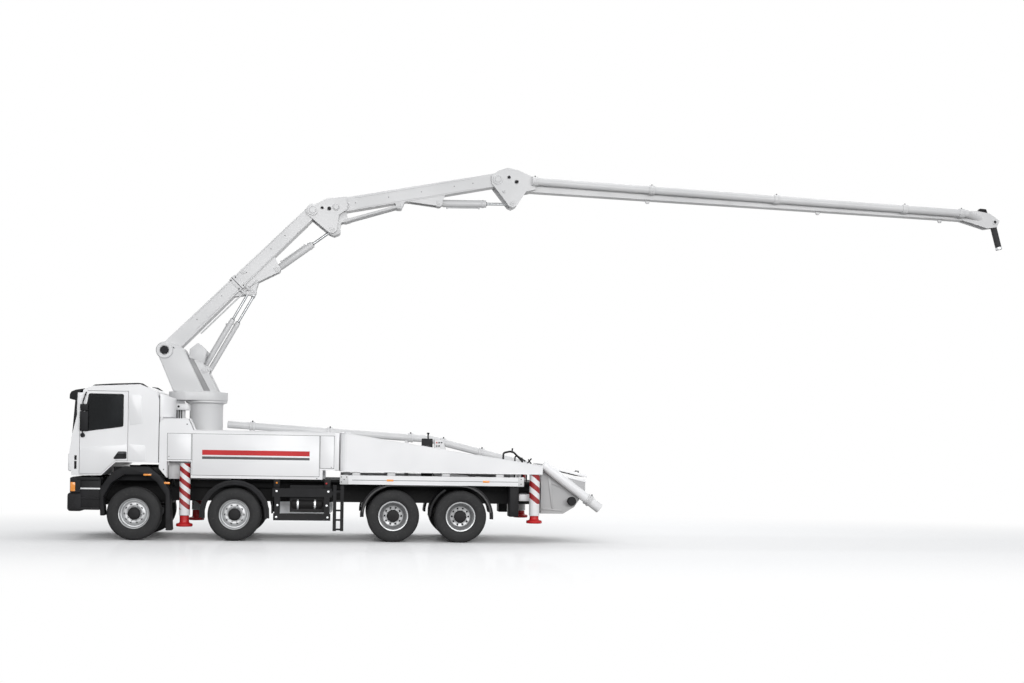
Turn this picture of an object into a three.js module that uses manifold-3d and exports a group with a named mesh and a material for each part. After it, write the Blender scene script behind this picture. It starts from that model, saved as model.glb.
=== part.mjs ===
// A truck-mounted concrete pump: four axles, a tilt cab, stowed outriggers and a three-arm boom.
// Millimetres, +Z up. The cab faces -X, and the truck's left side is at -Y.
// Inside the truck group X runs from the first axle; the exported group is centred on its own length.
import * as THREE from 'three';
import { mergeVertices } from 'three/addons/utils/BufferGeometryUtils.js';
import Module from 'manifold-3d';

const wasm = await Module();
wasm.setup();

// ---- driving dimensions ----
const FRONT_X = -1275; // bumper face
const HOSE_END = [18460, 6500]; // where the end hose hangs to, as X and Z
const HOSE_LENGTH = 620;
const HALF_WIDTH = 1250;
const TYRE_RADIUS = 535;
const TYRE_SEGMENTS = 16;
const AXLE_Z = TYRE_RADIUS * Math.cos(Math.PI / TYRE_SEGMENTS); // the tyres stand on a flat facet
const STEERED_AXLES = [0, 1940];
const DRIVEN_AXLES = [5080, 6440];
const KINGPIN_Y = 1010;
const STEERED_WHEEL_Y = 1095;
const TWIN_WHEEL_Y = 940;
const RAIL = { inner: 340, outer: 420, bottom: 760, top: 1040, front: -1040, rear: 8080 };
const CAB = { halfWidth: 1200, wall: 50 };
const SLEW_X = 1240;
const SIDE_INNER = 960; // inner face of the lockers and of the stowed rear outrigger arms
const SIDE_OUTER = 1240;
const FRONT_LEG = { x: 960, y: 1090, bottom: 500, top: 1530, padBottom: 275 };
const REAR_LEG = { x: 7960, y: 1090, bottom: 560, top: 1420, padBottom: 400 };
const REAR_ARM_PIVOT = { x: 4140, y: 1100 };
const LEG_RADIUS = 105;
const LEG_BORE = 62;
const PIVOT_A = [420, 3810]; // turret to first arm, as X and Z
const PIVOT_B = [3348, 6783]; // first arm to second arm
const PIVOT_C = [7196, 7578]; // second arm to third arm
const PIVOT_TIP = [18289, 7107]; // third arm to end hose
const CYLINDERS = {
  lift: { base: [1220, 3420], eye: [2135, 5075], barrel: 1200, piston: 450, radius: 85, rod: 45 },
  second: { base: [2625, 5560], eye: [3755, 6416], barrel: 920, piston: 400, radius: 75, rod: 38 },
  third: { base: [5966, 7065], eye: [7516, 7106], barrel: 1010, piston: 520, radius: 80, rod: 36 },
};
const ARM_HALF = [190, 160, 120]; // half widths of the three arms
const PIPE_RADIUS = 65;
const PIPE_Y = 328;

// ---- materials ----
const paint = (color, roughness = 0.4, metalness = 0) =>
  new THREE.MeshStandardMaterial({ color, roughness, metalness });
const WHITE = paint(0xe9e9ea);
const BOOM_GREY = paint(0xd6d7d8);
const DARK = paint(0x1b1c1e, 0.6);
const TRIM = paint(0x2c2d2f, 0.7);
const RUBBER = paint(0x18181a, 0.85);
const CHROME = paint(0xc9cbcd, 0.2, 1);
const RED = paint(0xb5121b);
const SEAT = paint(0x33343a, 0.9);

// ---- shapes ----
function solid(geometry) {
  const bare = geometry.clone();
  bare.deleteAttribute('normal');
  bare.deleteAttribute('uv');
  const merged = mergeVertices(bare, 1e-3);
  return new wasm.Manifold(new wasm.Mesh({
    numProp: 3,
    vertProperties: new Float32Array(merged.attributes.position.array),
    triVerts: new Uint32Array(merged.index.array),
  }));
}

function geometryOf(body) {
  const mesh = body.getMesh();
  const geometry = new THREE.BufferGeometry();
  geometry.setAttribute('position', new THREE.BufferAttribute(mesh.vertProperties, 3));
  geometry.setIndex(new THREE.BufferAttribute(mesh.triVerts, 1));
  geometry.computeVertexNormals();
  return geometry;
}

const union = (...bodies) => bodies.flat().reduce((whole, body) => whole.add(body));

function box(x0, x1, y0, y1, z0, z1) {
  const geometry = new THREE.BoxGeometry(x1 - x0, y1 - y0, z1 - z0);
  return solid(geometry.translate((x0 + x1) / 2, (y0 + y1) / 2, (z0 + z1) / 2));
}

function extrude(points, depth) {
  const shape = new THREE.Shape(points.map(([a, b]) => new THREE.Vector2(a, b)));
  return new THREE.ExtrudeGeometry(shape, { depth, bevelEnabled: false });
}

// A side outline (X, Z) stretched from y0 to y1.
const sidePrism = (points, y0, y1) =>
  solid(extrude(points, y1 - y0).rotateX(Math.PI / 2).translate(0, y1, 0));

// A plan outline (X, Y) stretched from z0 to z1.
const planPrism = (points, z0, z1) => solid(extrude(points, z1 - z0).translate(0, 0, z0));

// A round bar between two points.
function bar(from, to, radius, sides = 10) {
  const a = new THREE.Vector3(...from);
  const b = new THREE.Vector3(...to);
  const geometry = new THREE.CylinderGeometry(radius, radius, a.distanceTo(b), sides);
  const turn = new THREE.Quaternion().setFromUnitVectors(
    new THREE.Vector3(0, 1, 0), b.clone().sub(a).normalize());
  geometry.applyQuaternion(turn);
  return solid(geometry.translate(...a.add(b).multiplyScalar(0.5).toArray()));
}

const crossBar = ([x, z], radius, y0, y1, sides = 12) => bar([x, y0, z], [x, y1, z], radius, sides);

// Points of an arc about (cx, cz), angles in degrees.
function arc(cx, cz, radius, from, to, steps) {
  return Array.from({ length: steps + 1 }, (_, i) => {
    const angle = THREE.MathUtils.degToRad(from + (to - from) * i / steps);
    return [cx + radius * Math.cos(angle), cz + radius * Math.sin(angle)];
  });
}

// The same plates on both sides of the centre plane.
const bothSides = (make, inner, outer) => [make(inner, outer), make(-outer, -inner)];

// The point at distance `along` from pivot `from` towards pivot `to`, raised by `up` square to that line.
function onLine(from, to, along, up = 0) {
  const [dx, dz] = [to[0] - from[0], to[1] - from[1]];
  const length = Math.hypot(dx, dz);
  return [
    from[0] + (dx * along - dz * up) / length,
    from[1] + (dz * along + dx * up) / length,
  ];
}

const truck = new THREE.Group();

function add(name, body, material, parent = truck) {
  const mesh = new THREE.Mesh(body.isBufferGeometry ? body : geometryOf(body), material);
  mesh.name = name;
  parent.add(mesh);
  return mesh;
}

const SIDES = [['left', -1], ['right', 1]];

// Calls make(y0, y1) with a slab's limits on the left (-1) or right (1) side of the truck.
const slab = (side, inner, outer) => (side > 0 ? [inner, outer] : [-outer, -inner]);

// ---- wheels ----
function wheelGeometry(profile) {
  const points = profile.map(([r, y]) => new THREE.Vector2(r, y));
  return new THREE.LatheGeometry(points, TYRE_SEGMENTS, Math.PI / TYRE_SEGMENTS);
}

// Radius and distance outwards from the wheel's middle.
const STEERED_PROFILE = [
  [0, 80], [65, 80], [65, 20], [250, 20], [250, -135], [490, -148], [535, -105],
  [535, 105], [490, 148], [250, 135], [235, 60], [110, 60], [100, 110], [0, 110],
];
const TWIN_PROFILE = [
  [0, 100], [90, 100], [90, -20], [250, -20], [250, -300], [490, -305],
  [535, -262], [535, -68], [490, -25], [300, -25], [300, 25], [490, 25], [535, 68],
  [535, 262], [490, 305], [250, 300], [250, 20], [120, 20], [115, 150], [0, 150],
];

function addWheel(name, profile, x, y, side) {
  const wheel = add(name, wheelGeometry(profile), RUBBER);
  wheel.position.set(x, side * y, AXLE_Z);
  wheel.rotation.z = side > 0 ? 0 : Math.PI;
}

STEERED_AXLES.forEach((x, index) => {
  for (const [label, side] of SIDES) {
    addWheel(`wheel_axle${index + 1}_${label}`, STEERED_PROFILE, x, STEERED_WHEEL_Y, side);
  }
});
DRIVEN_AXLES.forEach((x, index) => {
  for (const [label, side] of SIDES) {
    addWheel(`twin_wheel_axle${index + 3}_${label}`, TWIN_PROFILE, x, TWIN_WHEEL_Y, side);
  }
});

// ---- axles and knuckles ----
const SPRING_TOP = RAIL.bottom - 6;

function steeredAxle(x) {
  const beam = box(x - 55, x + 55, -KINGPIN_Y, KINGPIN_Y, AXLE_Z - 40, AXLE_Z + 40);
  const eyes = [-1, 1].map((s) =>
    bar([x, s * KINGPIN_Y, AXLE_Z - 40], [x, s * KINGPIN_Y, AXLE_Z + 40], 55));
  const springs = bothSides((a, b) =>
    box(x - 450, x + 450, a, b, AXLE_Z + 90, AXLE_Z + 135), 345, 415);
  const seats = bothSides((a, b) => box(x - 60, x + 60, a, b, AXLE_Z + 30, SPRING_TOP), 345, 415);
  return union(beam, eyes, springs, seats);
}

function knuckle(x, side) {
  const [near, far] = slab(side, KINGPIN_Y - 55, KINGPIN_Y + 95);
  const [webNear, webFar] = slab(side, KINGPIN_Y + 65, KINGPIN_Y + 95);
  const outward = side * (KINGPIN_Y + 80);
  return union(
    box(x - 50, x + 50, near, far, AXLE_Z + 48, AXLE_Z + 80),
    box(x - 50, x + 50, near, far, AXLE_Z - 80, AXLE_Z - 48),
    box(x - 50, x + 50, webNear, webFar, AXLE_Z - 80, AXLE_Z + 80),
    bar([x, outward, AXLE_Z], [x, side * (STEERED_WHEEL_Y + 70), AXLE_Z], 48));
}

function drivenAxle(x) {
  const tube = bar([x, -TWIN_WHEEL_Y - 85, AXLE_Z], [x, TWIN_WHEEL_Y + 85, AXLE_Z], 75);
  const gearcase = bar([x - 210, 0, AXLE_Z], [x + 210, 0, AXLE_Z], 170, 10);
  const seats = bothSides((a, b) => box(x - 90, x + 90, a, b, AXLE_Z + 20, SPRING_TOP), 345, 415);
  return union(tube, gearcase, seats);
}

STEERED_AXLES.forEach((x, index) => {
  add(`front_axle_${index + 1}`, steeredAxle(x), DARK);
  for (const [label, side] of SIDES) {
    add(`knuckle_axle${index + 1}_${label}`, knuckle(x, side), DARK);
  }
});
DRIVEN_AXLES.forEach((x, index) => add(`drive_axle_${index + 1}`, drivenAxle(x), DARK));

// ---- chassis ----
const CROSS_MEMBERS = [-900, 1250, 2700, 3900, 5760, 7300, 8030];
add('chassis_frame', union(
  bothSides((a, b) => box(RAIL.front, RAIL.rear, a, b, RAIL.bottom, RAIL.top), RAIL.inner, RAIL.outer),
  CROSS_MEMBERS.map((x) => box(x - 40, x + 40, -RAIL.outer, RAIL.outer, 800, 980)),
), DARK);
add('engine', box(-780, 620, -325, 325, 700, 1215), DARK);

// ---- cab ----
const CAB_OUTLINE = [
  [-1200, 1255], [-640, 1270], [-370, 1530], [450, 1530], [450, 2780], [400, 2930], [80, 3070],
  [-840, 3020], [-1000, 2940], [-1205, 2050], [-1265, 1600],
];
const CAB_INSIDE = [
  [-1150, 1305], [-660, 1320], [-390, 1580], [400, 1580], [400, 2770], [365, 2890], [70, 3018],
  [-830, 2970], [-960, 2900], [-1152, 2050], [-1210, 1600],
];
const DOOR_OUTLINE = [
  [-1055, 1290], [-650, 1300], [-380, 1560], [-145, 1560], [-145, 2920], [-925, 2920], [-1055, 2120],
];
const DOOR_WINDOW = [[-985, 2130], [-240, 2240], [-240, 2860], [-890, 2860], [-980, 2300]];
// The doorway leaves 8 mm round the door.
const DOORWAY = [
  [-1063, 1282], [-650, 1292], [-380, 1552], [-137, 1552], [-137, 2928], [-925, 2928], [-1063, 2120],
];

function cabShell() {
  const inside = CAB.halfWidth - CAB.wall;
  const hollow = sidePrism(CAB_OUTLINE, -CAB.halfWidth, CAB.halfWidth)
    .subtract(sidePrism(CAB_INSIDE, -inside, inside));
  const doorways = sidePrism(DOORWAY, -CAB.halfWidth - 50, CAB.halfWidth + 50);
  const windscreen = sidePrism(
    [[-1400, 2110], [-1130, 2110], [-950, 2850], [-1400, 2850]], -1040, 1040);
  return hollow.subtract(doorways).subtract(windscreen);
}
add('cab_shell', cabShell(), WHITE);

for (const [label, side] of SIDES) {
  const skin = slab(side, CAB.halfWidth - CAB.wall, CAB.halfWidth);
  const door = sidePrism(DOOR_OUTLINE, ...skin)
    .subtract(sidePrism(DOOR_WINDOW, -HALF_WIDTH, HALF_WIDTH));
  add(`cab_door_${label}`, door, WHITE);
}

function seats() {
  const plinth = box(-330, 150, -900, 900, 1590, 1700);
  const chairs = [-560, 560].flatMap((y) => [
    box(-420, 130, y - 240, y + 240, 1695, 1960),
    sidePrism([[20, 1900], [150, 1900], [250, 2620], [150, 2640]], y - 230, y + 230),
  ]);
  return union(plinth, chairs);
}
add('cab_seats', seats(), SEAT);

function dashboard() {
  const panel = sidePrism(
    [[-1125, 1600], [-820, 1560], [-760, 1900], [-900, 2060], [-1100, 2060]], -1120, 1120);
  const ring = new THREE.TorusGeometry(215, 18, 8, 20);
  const wheel = solid(ring.rotateY(Math.PI / 2).rotateY(-0.9).translate(-690, -560, 2110));
  const spoke = bar([-690, -770, 2110], [-690, -350, 2110], 16, 8);
  const column = bar([-880, -560, 1960], [-690, -560, 2110], 26, 10);
  return union(panel, wheel, spoke, column);
}
add('dashboard', dashboard(), TRIM);

function bumperAndArches() {
  const front = box(FRONT_X, -1070, -1240, 1240, 660, 1225);
  const arch = [
    [-660, 500], [-660, 1010], [-430, 1330], [-210, 1450], [280, 1450], [500, 1280], [680, 1000],
    [735, 250], [625, 250], [610, 900], [430, 1150], [250, 1290], [-190, 1290], [-440, 1120],
    [-605, 850], [-605, 500],
  ];
  const sides = bothSides((a, b) => union(
    box(-1080, -655, a, b, 700, 1225),
    sidePrism(arch, a, b),
  ), 960, 1240);
  return union(front, sides);
}
add('bumper_and_arches', bumperAndArches(), DARK);

// ---- mudguards and side rails ----
const GUARD_RADIUS = 605;
const GUARD_THICKNESS = 28;

const [, SECOND_AXLE] = STEERED_AXLES;

for (const [label, side] of SIDES) {
  const band = [
    ...arc(SECOND_AXLE, AXLE_Z, GUARD_RADIUS + GUARD_THICKNESS, -8, 188, 14),
    ...arc(SECOND_AXLE, AXLE_Z, GUARD_RADIUS, 188, -8, 14),
  ];
  add(`mudguard_axle2_${label}`, sidePrism(band, ...slab(side, 935, 1245)), TRIM);
}

function rearGuard(side) {
  const [third, fourth] = DRIVEN_AXLES;
  const outer = GUARD_RADIUS + GUARD_THICKNESS;
  const band = [
    ...arc(fourth, AXLE_Z, outer, 8, 90, 7), ...arc(third, AXLE_Z, outer, 90, 172, 7),
    ...arc(third, AXLE_Z, GUARD_RADIUS, 172, 90, 7), ...arc(fourth, AXLE_Z, GUARD_RADIUS, 90, 8, 7),
  ];
  return union(
    sidePrism(band, ...slab(side, 625, 1245)),
    box(4170, 7720, ...slab(side, 1150, 1240), 1155, 1335));
}
for (const [label, side] of SIDES) add(`side_rail_${label}`, rearGuard(side), WHITE);

// ---- superstructure ----
add('subframe', union(
  box(700, 8100, -580, 580, 1046, 1190),
  box(1850, 8100, -935, 935, 1186, 1236),
), DARK);

const LOCKER_OUTLINE = [
  [470, 1420], [620, 1240], [3660, 1240], [3660, 1430], [3900, 1430], [3900, 2180], [1130, 2180],
  [1030, 2400], [545, 2400], [470, 2325],
];
for (const [label, side] of SIDES) {
  const body = sidePrism(LOCKER_OUTLINE, ...slab(side, SIDE_INNER, SIDE_OUTER));
  const legRoom = box(620, 1085, -HALF_WIDTH - 60, HALF_WIDTH + 60, 1200, 1565);
  add(`locker_${label}`, body.subtract(legRoom), WHITE);
}

const BEAM = { halfWidth: 100, bottom: 1300, top: 1500, inner: 40 };
function pedestal() {
  const base = box(780, 1800, -800, 800, 1242, 1760)
    .subtract(box(FRONT_LEG.x - 112, FRONT_LEG.x + 112, -900, 900, BEAM.bottom - 12, BEAM.top + 12));
  const foot = box(780, 1800, -570, 570, 1193, 1250);
  const column = bar([SLEW_X, 0, 1700], [SLEW_X, 0, 2785], 335, 20);
  const motor = bar([730, 0, 2050], [730, 0, 2640], 90, 10);
  const bracket = box(640, SLEW_X - 200, -130, 130, 2600, 2730);
  return union(base, foot, column, motor, bracket);
}
add('pedestal', pedestal(), WHITE);

add('hydraulic_tank', union(
  box(1950, 3700, -560, 560, 1240, 2060),
  box(2150, 2400, -200, 200, 2050, 2120),
), WHITE);

function deliveryLine() {
  const route = [[1640, 400, 2330], [5900, 400, 2090], [8080, 400, 1560]];
  const pipes = route.slice(1).map((end, i) => bar(route[i], end, 75, 12));
  const knee = solid(new THREE.SphereGeometry(84, 12, 8).translate(...route[1]));
  const posts = [[4150, 2170], [5400, 2100]].map(([x, top]) =>
    box(x - 40, x + 40, 360, 440, 1239, top));
  return union(pipes, knee, posts);
}
add('deck_pipe', deliveryLine(), BOOM_GREY);

function pumpUnit() {
  const tubes = [-190, 190].map((y) => bar([4150, y, 1640], [7650, y, 1400], 125, 10));
  const ends = [[4150, 1640], [5900, 1520], [7600, 1404]].map(([x, z]) =>
    box(x - 60, x + 60, -370, 280, z - 160, z + 160));
  const feet = [4150, 7600].map((x) => box(x - 60, x + 60, -330, 240, 1239, 1500));
  return union(tubes, ends, feet);
}
add('pump_unit', pumpUnit(), BOOM_GREY);

// ---- racks under the deck ----
function toolRack() {
  const plates = [
    [2680, 3850, 890, 1060], [2700, 3830, 420, 560], [2720, 2830, 420, 1060], [3700, 3810, 420, 1060],
  ];
  const front = plates.map(([x0, x1, z0, z1]) => box(x0, x1, -1240, -1190, z0, z1));
  const arms = [2720, 3700].map((x) => box(x, x + 110, -1200, -600, 930, 1030));
  return union(front, arms, box(3020, 3760, -1120, -600, 580, 1120));
}

function ladder() {
  const stiles = [3875, 4022].map((x) => box(x, x + 68, -1240, -1190, 215, 1130));
  const rungs = [230, 420, 610, 800, 990].map((z) => box(3890, 4080, -1235, -1195, z, z + 35));
  return union(stiles, rungs, box(3800, 3900, -1230, -1195, 930, 1000));
}
add('tool_rack_and_ladder', toolRack().add(ladder()), DARK);

const TANK_OUTLINE = [
  [2700, 520], [2760, 460], [3780, 460], [3840, 520],
  [3840, 1040], [3780, 1100], [2760, 1100], [2700, 1040],
];
add('fuel_tank', sidePrism(TANK_OUTLINE, 600, 1220), CHROME);

// ---- hopper ----
const HOPPER_OUTLINE = [
  [8150, 1500], [8150, 580], [8620, 580], [8850, 720], [9080, 1050], [9080, 1280],
];
const HOPPER_INSIDE = [
  [8195, 1700], [8195, 625], [8605, 625], [8820, 755], [9035, 1065], [9035, 1700],
];
const HOPPER_HALF = 700;
add('hopper', union(
  sidePrism(HOPPER_OUTLINE, -HOPPER_HALF, HOPPER_HALF)
    .subtract(sidePrism(HOPPER_INSIDE, -HOPPER_HALF + 40, HOPPER_HALF - 40)),
  bar([8780, -HOPPER_HALF - 120, 850], [8780, -HOPPER_HALF + 60, 850], 75),
  bar([8780, HOPPER_HALF - 60, 850], [8780, HOPPER_HALF + 120, 850], 75),
), BOOM_GREY);
add('hopper_lid', sidePrism([[8180, 1570], [8175, 1612], [9115, 1400], [9105, 1358]], -690, 690), WHITE);
add('rear_chute_pipe', union(
  bar([8330, -815, 1560], [9370, -815, 700], 100, 10),
  bar([9170, -815, 865], [9250, -815, 799], 125, 10),
  box(8560, 8640, -815, -703, 1300, 1380),
), WHITE);

// ---- outriggers ----
function jackLeg({ x, y, bottom, top }, side) {
  const tube = bar([x, side * y, bottom], [x, side * y, top], LEG_RADIUS, 12);
  return { tube, bore: bar([x, side * y, bottom - 20], [x, side * y, top - 60], LEG_BORE, 10) };
}

function jackFoot({ x, y, bottom, top, padBottom }, side) {
  const at = (z) => [x, side * y, z];
  return union(
    bar(at(padBottom + 60), at(top - 120), LEG_BORE - 8, 10),
    bar(at(padBottom + 50), at(bottom - 8), 92, 10),
    bar(at(padBottom), at(padBottom + 58), 160, 14));
}

for (const [label, side] of SIDES) {
  const front = jackLeg(FRONT_LEG, side);
  const beam = box(FRONT_LEG.x - BEAM.halfWidth, FRONT_LEG.x + BEAM.halfWidth,
    ...slab(side, BEAM.inner, FRONT_LEG.y - 20), BEAM.bottom, BEAM.top);
  add(`front_outrigger_${label}`, union(front.tube, beam).subtract(front.bore), WHITE);
  add(`front_foot_${label}`, jackFoot(FRONT_LEG, side), RED);
}

function rearArm(side) {
  const outline = [[3950, 1400], [8100, 1400], [8100, 1580], [3950, 2200]];
  const { x, y } = REAR_ARM_PIVOT;
  const half = SIDE_OUTER - y;
  const plan = [...arc(x, side * y, half, 90, 270, 10), [8100, side * y - half], [8100, side * y + half]];
  const leg = jackLeg(REAR_LEG, side);
  return sidePrism(outline, -HALF_WIDTH, HALF_WIDTH)
    .intersect(planPrism(plan, 1300, 2300)).add(leg.tube).subtract(leg.bore);
}
for (const [label, side] of SIDES) {
  add(`rear_outrigger_${label}`, rearArm(side), WHITE);
  add(`rear_foot_${label}`, jackFoot(REAR_LEG, side), RED);
}

// ---- turret ----
function turret() {
  const half = 450;
  const centres = [930, SLEW_X - 20];
  const plate = planPrism([
    ...arc(centres[0], 0, half, 90, 270, 10), ...arc(centres[1], 0, half, -90, 90, 10),
  ], 2800, 2980);
  const cheek = [
    [600, 2970], [1480, 2970], [1215, 3540], [1265, 3800], [1085, 3980], [900, 3840],
    [905, 3660], [760, 3860], [560, 3960], [250, 3800],
  ];
  const boss = (a, b) => crossBar(PIVOT_A, 175, a, b, 14);
  const cheeks = bothSides((a, b) => union(
    sidePrism(cheek, a, b), boss(a, b)), 235, 335);
  const lugs = bothSides((a, b) => union(
    crossBar(CYLINDERS.lift.base, 95, a, b),
    box(1140, 1300, a, b, 2970, 3420)), 88, 240);
  const web = sidePrism([[600, 2970], [1130, 2970], [900, 3420], [420, 3420]], -240, 240);
  return union(plate, cheeks, lugs, web);
}
add('turret', turret(), BOOM_GREY);

// ---- boom arms ----
function pipeAlong(from, to, start, end, up, clamps, halfWidth) {
  const place = (along) => {
    const [x, z] = onLine(from, to, along, up);
    return [x, PIPE_Y, z];
  };
  const pieces = [bar(place(start), place(end), PIPE_RADIUS, 12)];
  for (const along of clamps) {
    pieces.push(bar(place(along - 45), place(along + 45), PIPE_RADIUS + 22, 12));
    const [x, , z] = place(along);
    pieces.push(box(x - 30, x + 30, halfWidth - 20, PIPE_Y, z - 30, z + 30));
  }
  return pieces;
}

const lengthAB = Math.hypot(PIVOT_B[0] - PIVOT_A[0], PIVOT_B[1] - PIVOT_A[1]);
const lengthBC = Math.hypot(PIVOT_C[0] - PIVOT_B[0], PIVOT_C[1] - PIVOT_B[1]);

// Two plates under an arm that hold a cylinder's eye at `eye`, standing on the outline points `roots`.
const eyePlates = (eye, roots, inner, outer) => bothSides((a, b) => union(
  crossBar(eye, 85, a, b), sidePrism(roots, a, b)), inner, outer);

function firstArm() {
  const at = (along, up) => onLine(PIVOT_A, PIVOT_B, along, up);
  const outline = [at(0, -170), at(lengthAB, -120), at(lengthAB, 125), at(0, 145)];
  const { lift, second } = CYLINDERS;
  return union(
    sidePrism(outline, -ARM_HALF[0], ARM_HALF[0]),
    crossBar(PIVOT_A, 165, -220, 220, 14),
    crossBar(PIVOT_B, 125, -ARM_HALF[0], ARM_HALF[0], 14),
    eyePlates(lift.eye, [at(1750, -140), [lift.eye[0] - 55, lift.eye[1] - 60],
      [lift.eye[0] + 70, lift.eye[1] + 10], at(2600, -140)], 60, 110),
    eyePlates(second.base, [at(1900, -140), [second.base[0] + 20, second.base[1] - 80],
      [second.base[0] + 80, second.base[1] + 10], at(2950, -130)], 95, 145),
    pipeAlong(PIVOT_A, PIVOT_B, 1300, lengthAB - 200, 0, [1500, 2800, 3700], ARM_HALF[0]));
}
add('first_arm', firstArm(), BOOM_GREY);

// Plates that hold an arm's root about its pivot and carry the eye of the cylinder that folds it.
const rootPlates = (pivot, outline, inner, outer) => bothSides((a, b) => union(
  sidePrism(outline, a, b), crossBar(pivot, 135, a, b, 14)), inner, outer);

function secondArm() {
  const at = (along, up) => onLine(PIVOT_B, PIVOT_C, along, up);
  const outline = [at(300, -120), at(lengthBC, -120), at(lengthBC, 150), at(300, 165)];
  const plate = [[3250, 6690], [3690, 6340], [3780, 6322], [3850, 6390], [3890, 6710], [4060, 6840],
    [4040, 7090], [3640, 7040], [3390, 6905], [3240, 6850]];
  const { third } = CYLINDERS;
  return union(
    sidePrism(outline, -ARM_HALF[1], ARM_HALF[1]),
    box(3680, 3980, -240, 240, 6860, 6990),
    crossBar(PIVOT_C, 135, -ARM_HALF[1], ARM_HALF[1], 14),
    rootPlates(PIVOT_B, plate, 202, 242),
    eyePlates(third.base, [at(1900, -100), [third.base[0], third.base[1] - 75],
      [third.base[0] + 70, third.base[1] + 20], at(2800, -100)], 95, 140),
    pipeAlong(PIVOT_B, PIVOT_C, 200, lengthBC - 200, 20, [500, 2000, 3500], ARM_HALF[1]));
}
add('second_arm', secondArm(), BOOM_GREY);

const THIRD_PIPE = { y: -225, radius: 78, drop: 95 };
const THIRD_CLAMPS = [7980, 10500, 13250, 16150, 17450];
const thirdTop = (x) => 7665 - (x - 7938) * 0.0335; // height of the third arm's upper edge

function thirdArm() {
  const arm = [
    [7560, 7380], [8050, 7360], [17550, 7120], [17550, thirdTop(17550)], [7700, thirdTop(7700)],
  ];
  const plate = [[7070, 7500], [7440, 7040], [7520, 7005], [7610, 7050], [7800, 7350], [8000, 7400],
    [7990, 7640], [7640, 7790], [7390, 7835], [7200, 7765], [7060, 7660]];
  const tip = [[17500, 7330], [17900, 7335], [18170, 7290], [18400, 7140], [18340, 7000],
    [18120, 6960], [17800, 7050], [17500, 7130]];
  const { y, radius, drop } = THIRD_PIPE;
  const at = (x) => [x, y, thirdTop(x) - drop];
  const pieces = [
    sidePrism(arm, -ARM_HALF[2], ARM_HALF[2]),
    box(7700, 7940, -215, 215, 7420, 7600),
    rootPlates(PIVOT_C, plate, 175, 215),
    bothSides((a, b) => sidePrism(tip, a, b), 92, 120),
    bar(at(7960), at(17600), radius, 10),
    bar(at(17600), [17950, -60, 7180], radius - 8, 10),
    box(17480, 17560, -120, 120, 7140, 7320),
    THIRD_CLAMPS.flatMap((x) => [
      bar(at(x - 60), at(x + 60), radius + 24, 10),
      box(x - 30, x + 30, y, -ARM_HALF[2] + 20, at(x)[2] - 40, at(x)[2] + 40),
    ]),
  ];
  return union(pieces.flat());
}
add('third_arm', thirdArm(), BOOM_GREY);

function endHose() {
  const down = onLine(PIVOT_TIP, HOSE_END, HOSE_LENGTH);
  return union(
    crossBar(PIVOT_TIP, 84, -84, 84),
    bar([PIVOT_TIP[0], 0, PIVOT_TIP[1]], [down[0], 0, down[1]], 72, 10));
}
add('end_hose', endHose(), RUBBER);

// ---- boom cylinders ----
for (const [name, { base, eye, barrel, piston, radius, rod }] of Object.entries(CYLINDERS)) {
  const half = name === 'lift' ? 50 : 82;
  const point = (along) => {
    const [x, z] = onLine(base, eye, along);
    return [x, 0, z];
  };
  const length = Math.hypot(eye[0] - base[0], eye[1] - base[1]);
  const tube = union(bar(point(60), point(barrel), radius, 12), crossBar(base, 72, -half + 4, half - 4))
    .subtract(bar(point(130), point(barrel + 20), rod + 8, 10));
  const shaft = union(bar(point(piston), point(length), rod), crossBar(eye, 62, -half + 6, half - 6));
  add(`${name}_cylinder`, tube, BOOM_GREY);
  add(`${name}_rod`, shaft, CHROME);
}

const part = new THREE.Group();
const reach = new THREE.Box3().setFromObject(truck, true);
truck.position.x = -(reach.min.x + reach.max.x) / 2;
part.add(truck);
export default part;
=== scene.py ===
"""Looks for the truck-mounted concrete pump: finishes, fitted pieces, and the studio it stands in."""
import math
import bpy
from mathutils import Matrix, Vector


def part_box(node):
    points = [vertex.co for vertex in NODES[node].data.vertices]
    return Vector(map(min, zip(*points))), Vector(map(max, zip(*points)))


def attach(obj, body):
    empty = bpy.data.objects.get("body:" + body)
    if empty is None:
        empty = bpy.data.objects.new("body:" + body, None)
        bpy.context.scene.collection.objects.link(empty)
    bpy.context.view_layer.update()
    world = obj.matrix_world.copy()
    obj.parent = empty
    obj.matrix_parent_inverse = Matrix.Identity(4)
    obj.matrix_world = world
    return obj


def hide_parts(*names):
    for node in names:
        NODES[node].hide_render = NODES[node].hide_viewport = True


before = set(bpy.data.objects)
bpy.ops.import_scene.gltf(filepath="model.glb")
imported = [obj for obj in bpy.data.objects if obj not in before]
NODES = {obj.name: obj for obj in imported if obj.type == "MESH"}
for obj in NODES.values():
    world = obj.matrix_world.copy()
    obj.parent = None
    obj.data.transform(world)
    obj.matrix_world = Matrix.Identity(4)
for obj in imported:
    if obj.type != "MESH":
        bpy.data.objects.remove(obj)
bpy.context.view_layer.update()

# Truck measures run in metres from the first axle, with the left side at -Y.
FRONT_OVERHANG = 1.275
ORIGIN_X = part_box("bumper_and_arches")[0].x + FRONT_OVERHANG
AXLE_Z = sum(corner.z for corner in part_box("wheel_axle1_left")) / 2
SIDES = (("left", -1), ("right", 1))


def place(x, y, z):
    return Vector((x + ORIGIN_X, y, z))


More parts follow.
